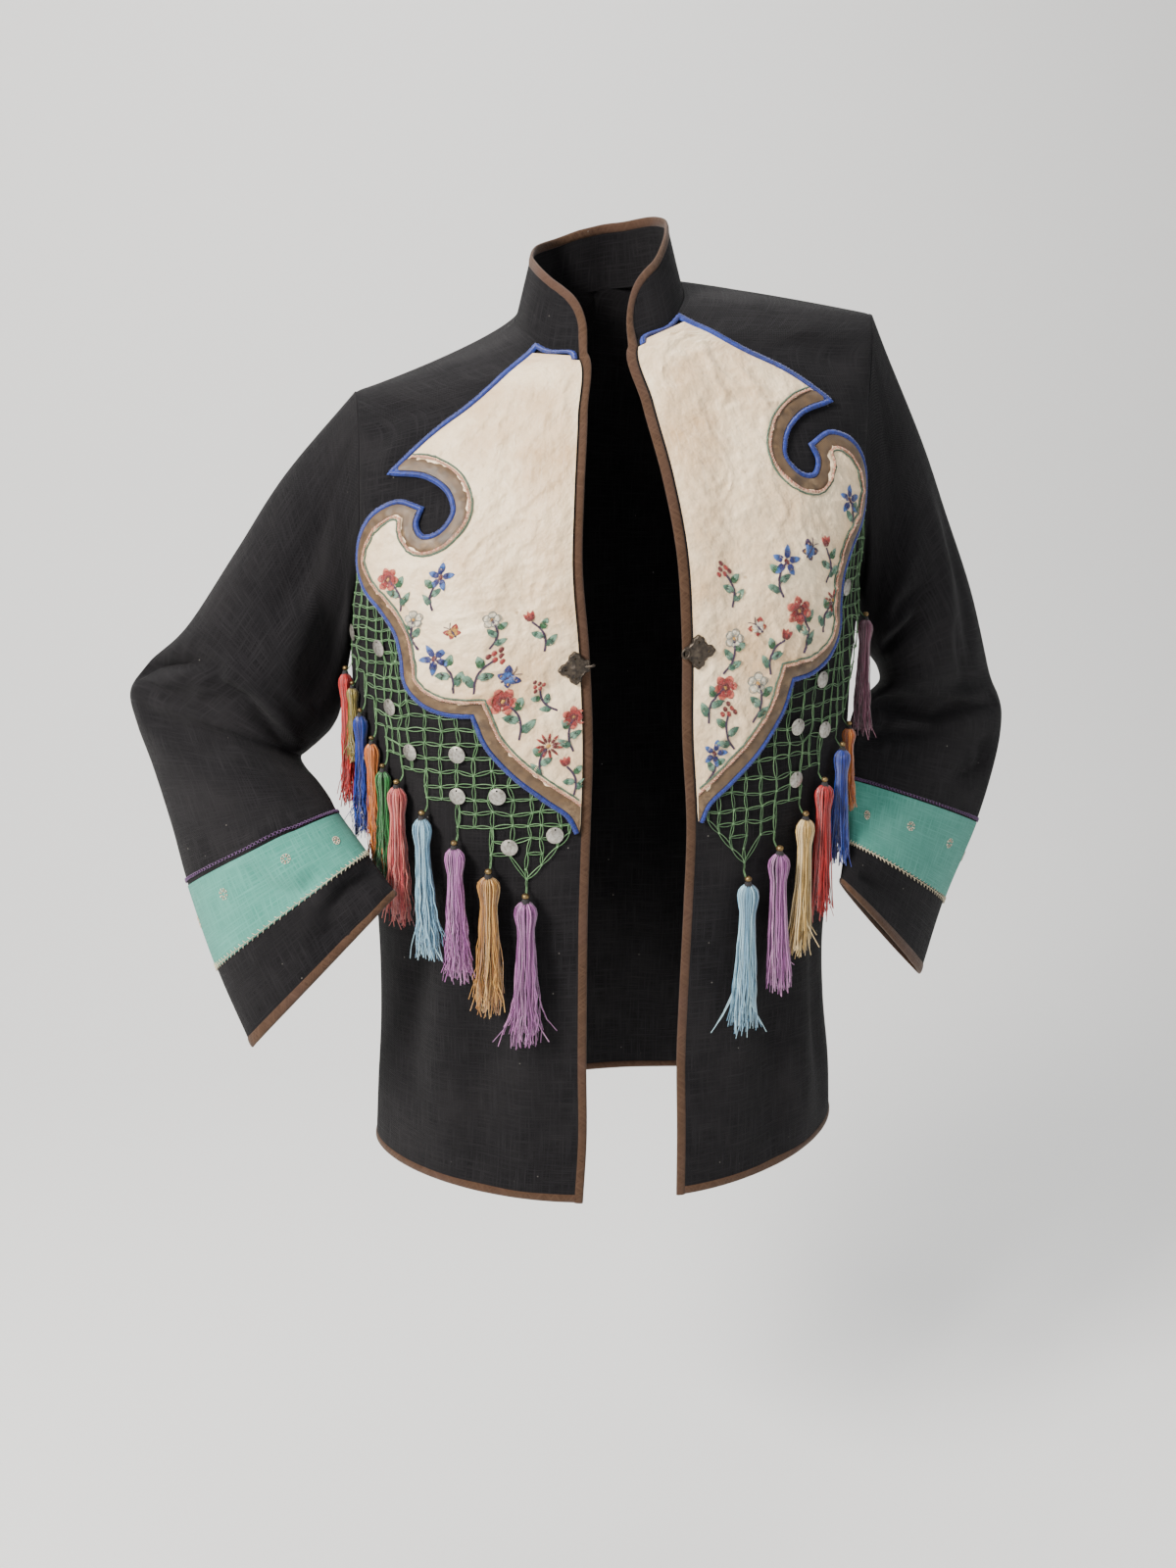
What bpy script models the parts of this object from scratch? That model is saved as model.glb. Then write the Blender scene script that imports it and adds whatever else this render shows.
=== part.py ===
"""Embroidered open-front jacket, worn: cloth panels, sleeves, yoke, net and tassels.

Metres, +Z up.  The front faces -Y and the wearer's left is +X.  The origin is the
centre of the neck base, level with the shoulder points of the neckline.
"""
import math

import bmesh
import bpy
import numpy as np
from mathutils import Vector, geometry

for old in list(bpy.data.objects):
    bpy.data.objects.remove(old, do_unlink=True)

# ---- driving sizes (metres) -------------------------------------------------
CLOTH = 0.0015            # thickness of the doubled cotton cloth
SEAM = 0.0003             # space left between two pieces at a seam
BINDING = 0.007           # width of the bias binding on every edge
BINDING_THICK = 0.0026
COLLAR_HEIGHT = 0.045
COLLAR_CORNER = 0.034     # length of the rounded front corner of the collar
COLLAR_END = 0.010        # straight height of the collar at its front ends
COLLAR_LIFT = 0.0010      # space between the neckline and the collar's foot
CORNER = 0.0024           # cloth cut away where the binding turns up the collar's end
COLLAR_LEAN, COLLAR_FRONT_LEAN = 0.26, 0.10     # inward lean, and what the front adds
COLLAR_ROWS = (0.0, 0.34, 0.67, 1.0)            # shares of its height that carry points
NECK_DEPTH = 0.075        # from the neck's middle forward to its front corners
ARMPIT = 0.425            # cloth height of the armpit above the hem
TOP = 0.705               # cloth height of the shoulder seam
NECK = ARMPIT + 0.7 * (TOP - ARMPIT)    # cloth height of the neckline at the front edge
ARM_STEPS = 10            # rows of each panel along its half of the armhole
NECK_STEPS = 4            # of them, the rows along the neckline
BODY_STEPS = 8            # rows of each panel below the armhole
PANEL_COLUMNS = 10        # points across a front, and across each half of the back
TILT = math.tan(math.radians(8.2))      # right shoulder lower than the left
SHOULDER_BEND = {"right": 0.65, "left": 1.12}   # under 1 the shoulder line sags
NECK_DROP = {"right": 0.009, "left": 0.0}       # lowering of each side of the neck
TILT_FROM, TILT_TO = -0.50, -0.05       # heights between which the tilt grows

# One row for each level of the front, from hem to shoulder.  "edge" is the front edge,
# then the neckline; "side" is the side seam, then the armhole.  Fullness 2 is round.
FRONT_COLUMNS = ("up", "edge_z", "edge_y", "edge_x_right", "edge_x_left",
                 "side_z", "side_y", "side_x_right", "side_x_left", "fullness")
FRONT_ROWS = (
    (0.000, -0.643, -0.120, 0.036, 0.035, -0.638, 0.000, 0.184, 0.190, 1.7),
    (0.050, -0.593, -0.119, 0.033, 0.035, -0.590, 0.000, 0.181, 0.187, 1.75),
    (0.110, -0.533, -0.118, 0.033, 0.034, -0.534, 0.000, 0.177, 0.180, 1.8),
    (0.170, -0.473, -0.120, 0.033, 0.035, -0.476, 0.000, 0.176, 0.176, 1.9),
    (0.230, -0.413, -0.124, 0.033, 0.036, -0.416, 0.000, 0.178, 0.179, 2.0),
    (0.290, -0.353, -0.129, 0.032, 0.036, -0.356, 0.000, 0.182, 0.184, 2.1),
    (0.355, -0.288, -0.133, 0.031, 0.031, -0.291, 0.000, 0.187, 0.186, 2.2),
    (0.425, -0.218, -0.135, 0.034, 0.029, -0.225, 0.000, 0.189, 0.187, 2.2),
    (0.480, -0.163, -0.133, 0.038, 0.025, -0.180, -0.036, 0.186, 0.183, 2.0),
    (0.530, -0.114, -0.122, 0.035, 0.017, -0.135, -0.052, 0.182, 0.180, 1.8),
    (0.580, -0.067, -0.098, 0.029, 0.008, -0.092, -0.048, 0.180, 0.183, 1.6),
    (0.621, -0.028, -0.075, 0.026, 0.003, -0.060, -0.034, 0.179, 0.189, 1.4),
    (0.650, -0.021, -0.061, 0.048, 0.031, -0.043, -0.020, 0.179, 0.194, 1.3),
    (0.676, -0.005, -0.036, 0.061, 0.049, -0.035, -0.008, 0.179, 0.197, 1.2),
    (0.705, 0.008, 0.002, 0.065, 0.056, -0.033, 0.004, 0.179, 0.199, 1.2),
)
# The back has the same levels; its "edge" is the centre line, then the neckline.
BACK_ROWS = (
    (0.000, -0.645, 0.110, 0.000, 0.000, -0.638, 0.000, 0.184, 0.190, 2.0),
    (0.050, -0.595, 0.106, 0.000, 0.000, -0.590, 0.000, 0.181, 0.187, 2.0),
    (0.110, -0.535, 0.099, 0.000, 0.000, -0.534, 0.000, 0.177, 0.180, 2.1),
    (0.170, -0.475, 0.093, 0.000, 0.000, -0.476, 0.000, 0.176, 0.176, 2.2),
    (0.230, -0.415, 0.094, 0.000, 0.000, -0.416, 0.000, 0.178, 0.179, 2.3),
    (0.290, -0.355, 0.100, 0.000, 0.000, -0.356, 0.000, 0.182, 0.184, 2.3),
    (0.355, -0.288, 0.108, 0.000, 0.000, -0.291, 0.000, 0.187, 0.186, 2.3),
    (0.425, -0.215, 0.114, 0.000, 0.000, -0.225, 0.000, 0.189, 0.187, 2.3),
    (0.480, -0.150, 0.114, 0.000, 0.000, -0.180, 0.040, 0.186, 0.184, 2.0),
    (0.530, -0.092, 0.106, 0.000, 0.000, -0.135, 0.058, 0.182, 0.182, 1.8),
    (0.580, -0.038, 0.087, 0.000, 0.000, -0.092, 0.056, 0.180, 0.185, 1.6),
    (0.621, 0.0125, 0.061, 0.000, 0.000, -0.060, 0.044, 0.179, 0.190, 1.4),
    (0.650, 0.013, 0.054, 0.034, 0.027, -0.043, 0.030, 0.179, 0.195, 1.3),
    (0.676, 0.013, 0.034, 0.056, 0.047, -0.035, 0.017, 0.179, 0.198, 1.2),
    (0.705, 0.008, 0.002, 0.065, 0.056, -0.033, 0.004, 0.179, 0.199, 1.2),
)

# One row for each section of a sleeve below the armhole: x, y, z of the middle of its
# upper or outer side, the same of its under or inner side, and the girth of the cloth.
SLEEVE_ROWS = {
    "right": (
        (-0.231, 0.012, -0.117, -0.197, 0.020, -0.286, 0.450),
        (-0.269, 0.022, -0.172, -0.204, 0.023, -0.304, 0.420),
        (-0.309, 0.035, -0.229, -0.214, 0.024, -0.315, 0.400),
        (-0.340, 0.044, -0.256, -0.224, 0.020, -0.322, 0.390),
        (-0.354, 0.047, -0.276, -0.229, 0.012, -0.325, 0.390),
        (-0.350, 0.042, -0.302, -0.226, 0.000, -0.330, 0.390),
        (-0.339, 0.028, -0.333, -0.217, -0.014, -0.338, 0.385),
        (-0.326, 0.005, -0.373, -0.209, -0.032, -0.346, 0.380),
        (-0.314, -0.025, -0.411, -0.203, -0.053, -0.353, 0.375),
        (-0.295, -0.055, -0.465, -0.184, -0.083, -0.375, 0.372),
        (-0.272, -0.080, -0.518, -0.165, -0.107, -0.398, 0.370),
    ),
    "left": (
        (0.248, 0.018, -0.093, 0.212, 0.022, -0.252, 0.440),
        (0.277, 0.030, -0.152, 0.218, 0.026, -0.262, 0.420),
        (0.308, 0.045, -0.215, 0.225, 0.026, -0.272, 0.400),
        (0.332, 0.054, -0.280, 0.226, 0.021, -0.283, 0.390),
        (0.344, 0.055, -0.306, 0.214, 0.012, -0.291, 0.390),
        (0.345, 0.050, -0.329, 0.199, -0.002, -0.299, 0.390),
        (0.336, 0.038, -0.359, 0.187, -0.022, -0.316, 0.385),
        (0.313, 0.015, -0.404, 0.177, -0.048, -0.345, 0.380),
        (0.277, -0.015, -0.457, 0.171, -0.072, -0.386, 0.372),
        (0.248, -0.045, -0.509, 0.160, -0.097, -0.411, 0.370),
    ),
}
# Way the broad side of each sleeve faces, at its first and its last section.
SLEEVE_FACING = {"right": ((0.02, -1.00, 0.07), (0.015, -0.92, 0.40)),
                 "left": ((-0.37, -0.93, 0.04), (-0.33, -0.86, 0.42))}
# Largest folds: sections from the armhole, turns from the armpit over the front, their
# reach in each, and how far the cloth is moved along x, y and z.
FOLDS = {
    "right": ((4.4, 0.38, 0.6, 0.11, 0.004, 0.012, -0.004),
              (5.8, 0.26, 0.6, 0.10, 0.000, 0.011, 0.003),
              (4.2, 0.12, 0.8, 0.10, 0.000, -0.009, 0.000)),
    "left": ((4.6, 0.37, 0.6, 0.11, -0.004, 0.012, -0.002),
             (5.8, 0.24, 0.6, 0.10, 0.000, 0.010, 0.003)),
}
BAND_FROM = {"right": 9.0, "left": 8.0}      # sleeve section where the teal band begins
BAND_TO = {"right": 10.0, "left": 9.0}
CUFF_END = {"right": 11.0, "left": 10.0}
BINDING_SECTIONS = 0.12   # width of the cuff binding, counted in sections
SEAM_SECTIONS = 0.012     # space at each seam round the sleeve, in sections
BINDING_GAP = {"right": 0.006, "left": 0.030}     # its space from the cuff, in sections

# ---- the yoke on each front --------------------------------------------------
# Runs of its outline: metres across the cloth from the front edge, metres up from the hem.
YOKE_RUNS = {
    "neck": ((0.0100, 0.6200), (0.0036, 0.6330), (0.0032, 0.6480), (0.0032, 0.6600)),
    "slope": ((0.0032, 0.6600), (0.045, 0.638), (0.087, 0.615), (0.113, 0.602), (0.140, 0.580)),
    "hook": ((0.140, 0.580), (0.112, 0.570), (0.095, 0.553), (0.091, 0.538), (0.100, 0.527),
             (0.112, 0.527), (0.118, 0.537), (0.115, 0.548)),
    "lobe": ((0.115, 0.548), (0.133, 0.5565), (0.152, 0.551), (0.166, 0.535), (0.172, 0.514),
             (0.164, 0.494), (0.147, 0.475), (0.136, 0.454), (0.1335, 0.432), (0.132, 0.411),
             (0.119, 0.395), (0.100, 0.387), (0.081, 0.3855)),
    "sweep": ((0.081, 0.3855), (0.074, 0.364), (0.056, 0.340), (0.031, 0.318), (0.015, 0.304),
              (0.0100, 0.293)),
}
EDGING = 0.0035           # width of the blue corded edging along the outline
RIBBON = 0.0090           # width of the brown ribbon inside the edging
YOKE_LOW, YOKE_HIGH = 0.0010, 0.0020          # lower and upper face, above the front
RIBBON_LOW, RIBBON_HIGH = 0.0024, 0.0034
EDGING_LOW, EDGING_HIGH = 0.0010, 0.0038
CLOSING_BELOW, CLOSING_ABOVE = 0.006, 0.004    # ends of the satin along the front binding
CLOSING_POINTS = 18
LATTICE = ((0.02, 0.18, 0.018), (0.30, 0.66, 0.020))   # points inside the satin: from, to, step
LATTICE_CLEAR = 0.006     # their least distance from its border

# ---- the net -----------------------------------------------------------------
# One row for each upright strand: where it leaves the yoke's edge, where it ends, and the
# height of the net's lower border on its front side and on its outer side.
NET_COLUMNS = ("top_across", "top_up", "foot_right", "foot_left", "foot_front", "foot_outer")
NET_ROWS = (
    (0.0150, 0.3000, 0.0150, 0.0150, 0.2940, 0.2940),
    (0.0230, 0.3100, 0.0230, 0.0230, 0.2840, 0.2840),
    (0.0330, 0.3180, 0.0335, 0.0335, 0.2710, 0.2710),
    (0.0435, 0.3280, 0.0435, 0.0435, 0.2600, 0.2600),
    (0.0560, 0.3380, 0.0562, 0.0555, 0.2790, 0.2790),
    (0.0690, 0.3550, 0.0690, 0.0675, 0.2790, 0.3000),
    (0.0812, 0.3810, 0.0812, 0.0795, 0.3000, 0.3000),
    (0.0935, 0.3850, 0.0935, 0.0905, 0.3000, 0.3210),
    (0.1057, 0.3880, 0.1057, 0.1000, 0.3210, 0.3210),
    (0.1180, 0.3920, 0.1180, 0.1100, 0.3210, 0.3420),
    (0.1310, 0.4040, 0.1305, 0.1205, 0.3420, 0.3420),
    (0.1370, 0.4480, 0.1420, 0.1300, 0.3420, 0.3525),
    (0.1410, 0.4600, 0.1510, 0.1390, 0.3525, 0.3525),
    (0.1465, 0.4690, 0.1590, 0.1475, 0.3525, 0.3735),
    (0.1530, 0.4790, 0.1715, 0.1555, 0.3735, 0.3945),
    (0.1600, 0.4870, 0.1840, 0.1630, 0.3945, 0.4155),
    (0.1665, 0.4960, 0.1960, 0.1700, 0.4155, 0.4260),
    (0.1730, 0.5080, 0.2085, 0.1760, 0.4260, 0.4260),
)
NET_PITCH = 0.0105        # height of one mesh of the net
NET_LOWEST, NET_HIGHEST = 0.2580, 0.52    # heights between which it has cross strands
STRAND = 0.0022           # width of the doubled, knotted thread
NET_LOW, NET_HIGH = 0.0008, 0.0020
MESH_LEAST = 1.6e-5        # area of the smallest mesh that is cut through
TAIL = 0.0060             # length of net cord that carries each tassel

# One row for each tassel: the net strand it hangs from, its length, the radius of its tied
# head and its thread.
TASSELS = {
    "right": ((3, 0.118, 0.0076, "lilac"), (5, 0.112, 0.0074, "gold"),
              (7, 0.108, 0.0068, "lilac"), (9, 0.112, 0.0068, "sky"),
              (11, 0.112, 0.0068, "coral"), (13, 0.098, 0.0056, "green"),
              (14, 0.106, 0.0052, "orange"), (15, 0.098, 0.0052, "blue"),
              (16, 0.062, 0.0046, "olive"), (17, 0.108, 0.0058, "red")),
    "left": ((3, 0.122, 0.0074, "sky"), (5, 0.116, 0.0076, "lilac"),
             (7, 0.114, 0.0070, "straw"), (9, 0.110, 0.0068, "red"),
             (11, 0.096, 0.0064, "blue"), (13, 0.070, 0.0056, "orange"),
             (17, 0.096, 0.0060, "mauve")),
}
TASSEL_SIDES = 6
TIE_RADIUS = 0.0013       # the cord's tie, at the tassel's top
BEAD_RADIUS, BEAD_DROP = 0.0032, 0.0060       # the bead and how far below the tie it is
HEAD_DROP, HEAD_FOOT = 0.0140, 0.0260         # widest place and foot of the tied head
HEAD_WAIST = 0.92         # share of the head's radius that is left at its foot
TASSEL_LIFT = 0.0016      # space between a tassel and the cloth behind it
LOCK_INSET, LOCK_SPREAD, LOCK_STEP = 0.0006, 0.25, 0.0060    # gap, spread and uneven ends
# Silver discs sewn to the net: metres across and up the front.
DISC_RADIUS, DISC_THICK = 0.0060, 0.0010
DISC_SIDES = 9
DISCS = {
    "right": ((0.1960, 0.4500), (0.1550, 0.4400), (0.1480, 0.3905), (0.1310, 0.3560),
              (0.0935, 0.3560), (0.0935, 0.3240), (0.0650, 0.3240), (0.0560, 0.2850),
              (0.0250, 0.2930)),
    "left": ((0.1120, 0.3800), (0.0880, 0.3510), (0.1160, 0.3440), (0.0860, 0.3140),
             (0.1420, 0.4420)),
}
CLASP_ACROSS, CLASP_UP = 0.0105, 0.4125       # centre of each clasp plate on its front
CLASP_RADIUS, CLASP_LOBE = 0.0105, 0.0020
CLASP_POINTS, CLASP_LOBES = 24, 4
CLASP_LOW, CLASP_HIGH = 0.0024, 0.0040

SIGN = {"right": -1.0, "left": 1.0}
LOOKS = {                  # base colour, roughness, metallic
    "cloth": ((0.024, 0.023, 0.028, 1.0), 0.85, 0.0),
    "satin": ((0.72, 0.60, 0.46, 1.0), 0.45, 0.0),
    "ribbon": ((0.25, 0.14, 0.06, 1.0), 0.5, 0.0),
    "edging": ((0.01, 0.04, 0.30, 1.0), 0.6, 0.0),
    "binding": ((0.065, 0.032, 0.025, 1.0), 0.7, 0.0),
    "band": ((0.07, 0.24, 0.19, 1.0), 0.8, 0.0),
    "net": ((0.10, 0.25, 0.09, 1.0), 0.7, 0.0),
    "silver": ((0.50, 0.48, 0.44, 1.0), 0.4, 0.9),
    "bronze": ((0.07, 0.06, 0.05, 1.0), 0.45, 0.8),
    "lilac": ((0.45, 0.18, 0.38, 1.0), 0.5, 0.0),
    "gold": ((0.55, 0.30, 0.08, 1.0), 0.5, 0.0),
    "sky": ((0.34, 0.55, 0.66, 1.0), 0.5, 0.0),
    "coral": ((0.62, 0.14, 0.14, 1.0), 0.5, 0.0),
    "green": ((0.03, 0.22, 0.05, 1.0), 0.5, 0.0),
    "orange": ((0.55, 0.17, 0.03, 1.0), 0.5, 0.0),
    "blue": ((0.01, 0.05, 0.32, 1.0), 0.5, 0.0),
    "olive": ((0.28, 0.25, 0.05, 1.0), 0.5, 0.0),
    "red": ((0.45, 0.02, 0.02, 1.0), 0.5, 0.0),
    "straw": ((0.70, 0.52, 0.22, 1.0), 0.5, 0.0),
    "mauve": ((0.20, 0.07, 0.11, 1.0), 0.5, 0.0),
}

model = bpy.data.collections.new("embroidered_jacket")
bpy.context.scene.collection.children.link(model)


def material(name):
    """The named finish, made once."""
    found = bpy.data.materials.get(name)
    if found:
        return found
    made = bpy.data.materials.new(name)
    made.use_nodes = True
    shader = made.node_tree.nodes["Principled BSDF"]
    colour, roughness, metallic = LOOKS[name]
    shader.inputs["Base Color"].default_value = colour
    shader.inputs["Roughness"].default_value = roughness
    shader.inputs["Metallic"].default_value = metallic
    return made


def solid(name, vertices, faces, look):
    """One closed body in the model's collection, its faces turned outwards."""
    mesh = bpy.data.meshes.new(name)
    mesh.from_pydata([tuple(v) for v in vertices], [], [tuple(f) for f in faces])
    work = bmesh.new()
    work.from_mesh(mesh)
    bmesh.ops.recalc_face_normals(work, faces=work.faces)
    work.to_mesh(mesh)
    work.free()
    mesh.shade_smooth()
    mesh.set_sharp_from_angle(angle=math.radians(35))
    mesh.materials.append(material(look))
    made = bpy.data.objects.new(name, mesh)
    model.objects.link(made)
    return made


def wall(name, points, normals, faces, low, high, look):
    """A wall over a sheet of faces, from `low` to `high` along the sheet's normals."""
    count = len(points)
    vertices = np.vstack([points + normals * high, points + normals * low])
    edges = {(f[i - 1], f[i]) for f in faces for i in range(len(f))}
    rims = [(b, a, a + count, b + count) for a, b in edges if (b, a) not in edges]
    inner = [tuple(v + count for v in reversed(f)) for f in faces]
    return solid(name, vertices, [*faces, *inner, *sorted(rims)], look)


def unit(vectors):
    """Vectors of length one."""
    return vectors / np.linalg.norm(vectors, axis=-1, keepdims=True)


def grid_faces(rows, columns, closed=False):
    """Four-sided faces over a grid whose rows run one after another; closed joins its ends."""
    last = columns if closed else columns - 1
    return [(i * columns + j, i * columns + (j + 1) % columns,
             (i + 1) * columns + (j + 1) % columns, (i + 1) * columns + j)
            for i in range(rows - 1) for j in range(last)]


def smooth(places, table, at):
    """Read a table between its rows, on a smooth curve through them."""
    places, table = np.asarray(places, float), np.asarray(table, float)
    slopes = np.gradient(table, places, axis=0)
    at = np.clip(at, places[0], places[-1])
    i = min(np.searchsorted(places, at, side="right") - 1, len(places) - 2)
    step = places[i + 1] - places[i]
    t = (at - places[i]) / step
    return ((2 * t**3 - 3 * t**2 + 1) * table[i] + (t**3 - 2 * t**2 + t) * step * slopes[i]
            + (3 * t**2 - 2 * t**3) * table[i + 1] + (t**3 - t**2) * step * slopes[i + 1])


# ---- the body of the jacket --------------------------------------------------
def tilted(points):
    """Raise the wearer's left side of the upper body and lower the right."""
    rise = np.clip((points[..., 2] - TILT_FROM) / (TILT_TO - TILT_FROM), 0, 1)
    rise = rise * rise * (3 - 2 * rise)
    return points + np.stack([0 * rise, 0 * rise, points[..., 0] * TILT * rise], -1)


def level(part, side, up):
    """The panel's line at one height: points from its edge to its side, and their lengths."""
    rows = np.array(FRONT_ROWS if part == "front" else BACK_ROWS)
    row = dict(zip(FRONT_COLUMNS[1:], smooth(rows[:, 0], rows[:, 1:], up)))
    turn = np.linspace(0, math.pi / 2, 41)
    outward = np.sin(turn) ** (2 / row["fullness"])
    forward = np.cos(turn) ** (2 / row["fullness"])
    edge_x, side_x = row["edge_x_" + side], row["side_x_" + side]
    edge_z = row["edge_z"] - NECK_DROP[side] * max(0.0, (up - NECK) / (TOP - NECK))
    side_y = row["side_y"] if up > ARMPIT else 0.0
    line = tilted(np.stack([
        SIGN[side] * (edge_x + (side_x - edge_x) * outward),
        side_y + (row["edge_y"] - side_y) * forward,
        edge_z + (row["side_z"] - edge_z) * outward ** SHOULDER_BEND[side]], -1))
    steps = np.linalg.norm(np.diff(line, axis=0), axis=1)
    return line, np.concatenate([[0], np.cumsum(steps)])


def width(part, side, up):
    """Length of cloth from a panel's edge to its side at one height."""
    return level(part, side, up)[1][-1]


def on_panel(part, side, across, up):
    """Points of a panel: metres across the cloth from its edge, and up from the hem."""
    line, lengths = level(part, side, up)
    return np.stack([np.interp(across, lengths, line[:, k]) for k in range(3)], -1)


def panel_normal(part, side, across, up, reach=0.002):
    """Outward direction of a panel's surface at points of one height."""
    full = width(part, side, up)
    across = np.asarray(across, float)
    low, high = max(up - reach, 0), min(up + reach, TOP)
    along = (on_panel(part, side, np.minimum(across + reach, full), up)
             - on_panel(part, side, np.maximum(across - reach, 0), up))
    share = across / full
    upward = (on_panel(part, side, share * width(part, side, high), high)
              - on_panel(part, side, share * width(part, side, low), low))
    turned = SIGN[side] * (1 if part == "front" else -1)
    return unit(np.cross(along, upward)) * turned


def arm_levels():
    """Heights of the rows along the armhole; one lies just above the front binding's end."""
    below = np.linspace(ARMPIT, NECK, ARM_STEPS - NECK_STEPS + 1)
    return np.concatenate([below, np.linspace(NECK + BINDING + CORNER, TOP, NECK_STEPS)])


def body_levels():
    """Heights of the rows of a panel, from above the hem binding to the shoulder seam."""
    lower = np.linspace(BINDING + SEAM, ARMPIT, BODY_STEPS, endpoint=False)
    return np.concatenate([lower, arm_levels()])


def panel_grid(part, side):
    """Points and normals of a front, or of half the back, as rows from edge to side."""
    points, normals = [], []
    for up in body_levels():
        start = BINDING + SEAM if part == "front" and up < NECK + SEAM else 0.0
        start += CORNER if part == "front" and abs(up - NECK) < SEAM else 0.0
        across = np.linspace(start, width(part, side, up), PANEL_COLUMNS)
        points.append(on_panel(part, side, across, up))
        normals.append(panel_normal(part, side, across, up))
    return np.array(points), np.array(normals)


# ---- the sleeves -------------------------------------------------------------
def armhole(side):
    """The armhole edge as a ring of points, from the armpit over the front to the back."""
    ups = arm_levels()
    front = [level("front", side, up)[0][-1] for up in ups]
    back = [level("back", side, up)[0][-1] for up in ups[::-1]]
    return np.array(front + back[1:-1])


def sleeve_rings(side):
    """The sleeve's sections, from the armhole to the cuff, as rings of points."""
    rings = [armhole(side)]
    rows = np.array(SLEEVE_ROWS[side])
    tops, unders, girths = rows[:, 0:3], rows[:, 3:6], rows[:, 6]
    facings = np.linspace(*np.array(SLEEVE_FACING[side]), len(rows))
    turn = np.linspace(math.pi, -math.pi, len(rings[0]), endpoint=False)
    for top, under, girth, facing in zip(tops, unders, girths, facings):
        half = (top - under) / 2
        depth = math.sqrt(2 * (girth / (2 * math.pi)) ** 2 - half @ half)
        rings.append((top + under) / 2 + np.outer(np.cos(turn), half)
                     + np.outer(np.sin(turn), unit(facing) * depth))
    return np.array(rings)


def sleeve_ring(side, rings, section):
    """One ring of a sleeve at a place counted in sections, with its folds."""
    ring = smooth(np.arange(len(rings)), rings, section)
    around = np.arange(ring.shape[0]) / ring.shape[0]
    for fold in FOLDS[side]:
        near = (section - fold[0]) / fold[2]
        turned = ((around - fold[1] + 0.5) % 1.0 - 0.5) / fold[3]
        strength = np.exp(-near * near - turned * turned) * min(1.0, section / 0.5)
        ring = ring + np.outer(strength, fold[4:])
    return ring


def sleeve_grid(side, sections):
    """Points and normals of a sleeve at places counted in sections from the armhole."""
    rings, nudge = sleeve_rings(side), 0.02
    points = np.array([sleeve_ring(side, rings, at) for at in sections])
    along = np.array([sleeve_ring(side, rings, at + nudge)
                      - sleeve_ring(side, rings, max(at - nudge, 0.0)) for at in sections])
    around = np.roll(points, -1, axis=1) - np.roll(points, 1, axis=1)
    return points, unit(np.cross(along, around)) * SIGN[side]


def seam_normals(side):
    """Directions shared by the cloth on both sides of each seam of one side."""
    panels = {part: panel_grid(part, side)[1] for part in ("front", "back")}
    shoulder = unit(panels["front"][-1] + panels["back"][-1])
    seam = unit(panels["front"][:, -1] + panels["back"][:, -1])
    cloth = np.vstack([seam[BODY_STEPS:BODY_STEPS + 1],
                       panels["front"][BODY_STEPS + 1:-1, -1],
                       shoulder[-1:],
                       panels["back"][-2:BODY_STEPS:-1, -1]])
    ring = unit(cloth + sleeve_grid(side, [0.0])[1][0])
    return shoulder, seam[:BODY_STEPS + 1], ring


def torso_normals(part, side):
    """A panel's normals, with those of its seams taken from the seams."""
    normals = panel_grid(part, side)[1]
    shoulder, seam, ring = seam_normals(side)
    half = ring[:ARM_STEPS + 1] if part == "front" else np.vstack([ring[:1], ring[:ARM_STEPS - 1:-1]])
    normals[-1] = shoulder
    normals[:BODY_STEPS, -1] = seam[:-1]
    normals[BODY_STEPS:, -1] = half
    return normals


def inset_seams(points):
    """Draw a panel back from its side, armhole and shoulder by half a seam's space."""
    points = points.copy()
    points[:, -1] += unit(points[:, -2] - points[:, -1]) * SEAM / 2
    points[-1] += unit(points[-2] - points[-1]) * SEAM / 2
    return points


def front_panel(side):
    """A front, from its binding to the side seam and armhole."""
    points = inset_seams(panel_grid("front", side)[0])
    normals = torso_normals("front", side)
    faces = grid_faces(*points.shape[:2])
    if side == "right":
        faces = [f[::-1] for f in faces]
    wall("front_panel_" + side, points.reshape(-1, 3), normals.reshape(-1, 3), faces,
         -CLOTH, 0.0, "cloth")


def back_panel():
    """The back, one piece: two halves that share the centre line up to the neck."""
    rows, columns = BODY_STEPS + ARM_STEPS + 1, PANEL_COLUMNS
    neck_row = rows - NECK_STEPS - 1
    points, normals, faces = [], [], []
    for side in SIGN:
        points.append(inset_seams(panel_grid("back", side)[0]).reshape(-1, 3))
        normals.append(torso_normals("back", side).reshape(-1, 3))
    second = np.arange(rows * columns) + rows * columns
    second[0:(neck_row + 1) * columns:columns] -= rows * columns
    half = grid_faces(rows, columns)
    faces = half + [tuple(int(second[v]) for v in f[::-1]) for f in half]
    points, normals = np.vstack(points), np.vstack(normals)
    used = sorted({v for f in faces for v in f})
    place = {v: i for i, v in enumerate(used)}
    faces = [tuple(place[v] for v in f) for f in faces]
    wall("back_panel", points[used], normals[used], faces, -CLOTH, 0.0, "cloth")


def sleeve_part(name, side, sections, look):
    """One tube of a sleeve between two seams."""
    points, normals = sleeve_grid(side, sections)
    if sections[0] < 1:
        normals[0] = seam_normals(side)[2]
    rings, around = points.shape[:2]
    faces = grid_faces(rings, around, closed=True)
    if side == "right":
        faces = [f[::-1] for f in faces]
    wall(name + "_" + side, points.reshape(-1, 3), normals.reshape(-1, 3), faces,
         -CLOTH, 0.0, look)


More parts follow.
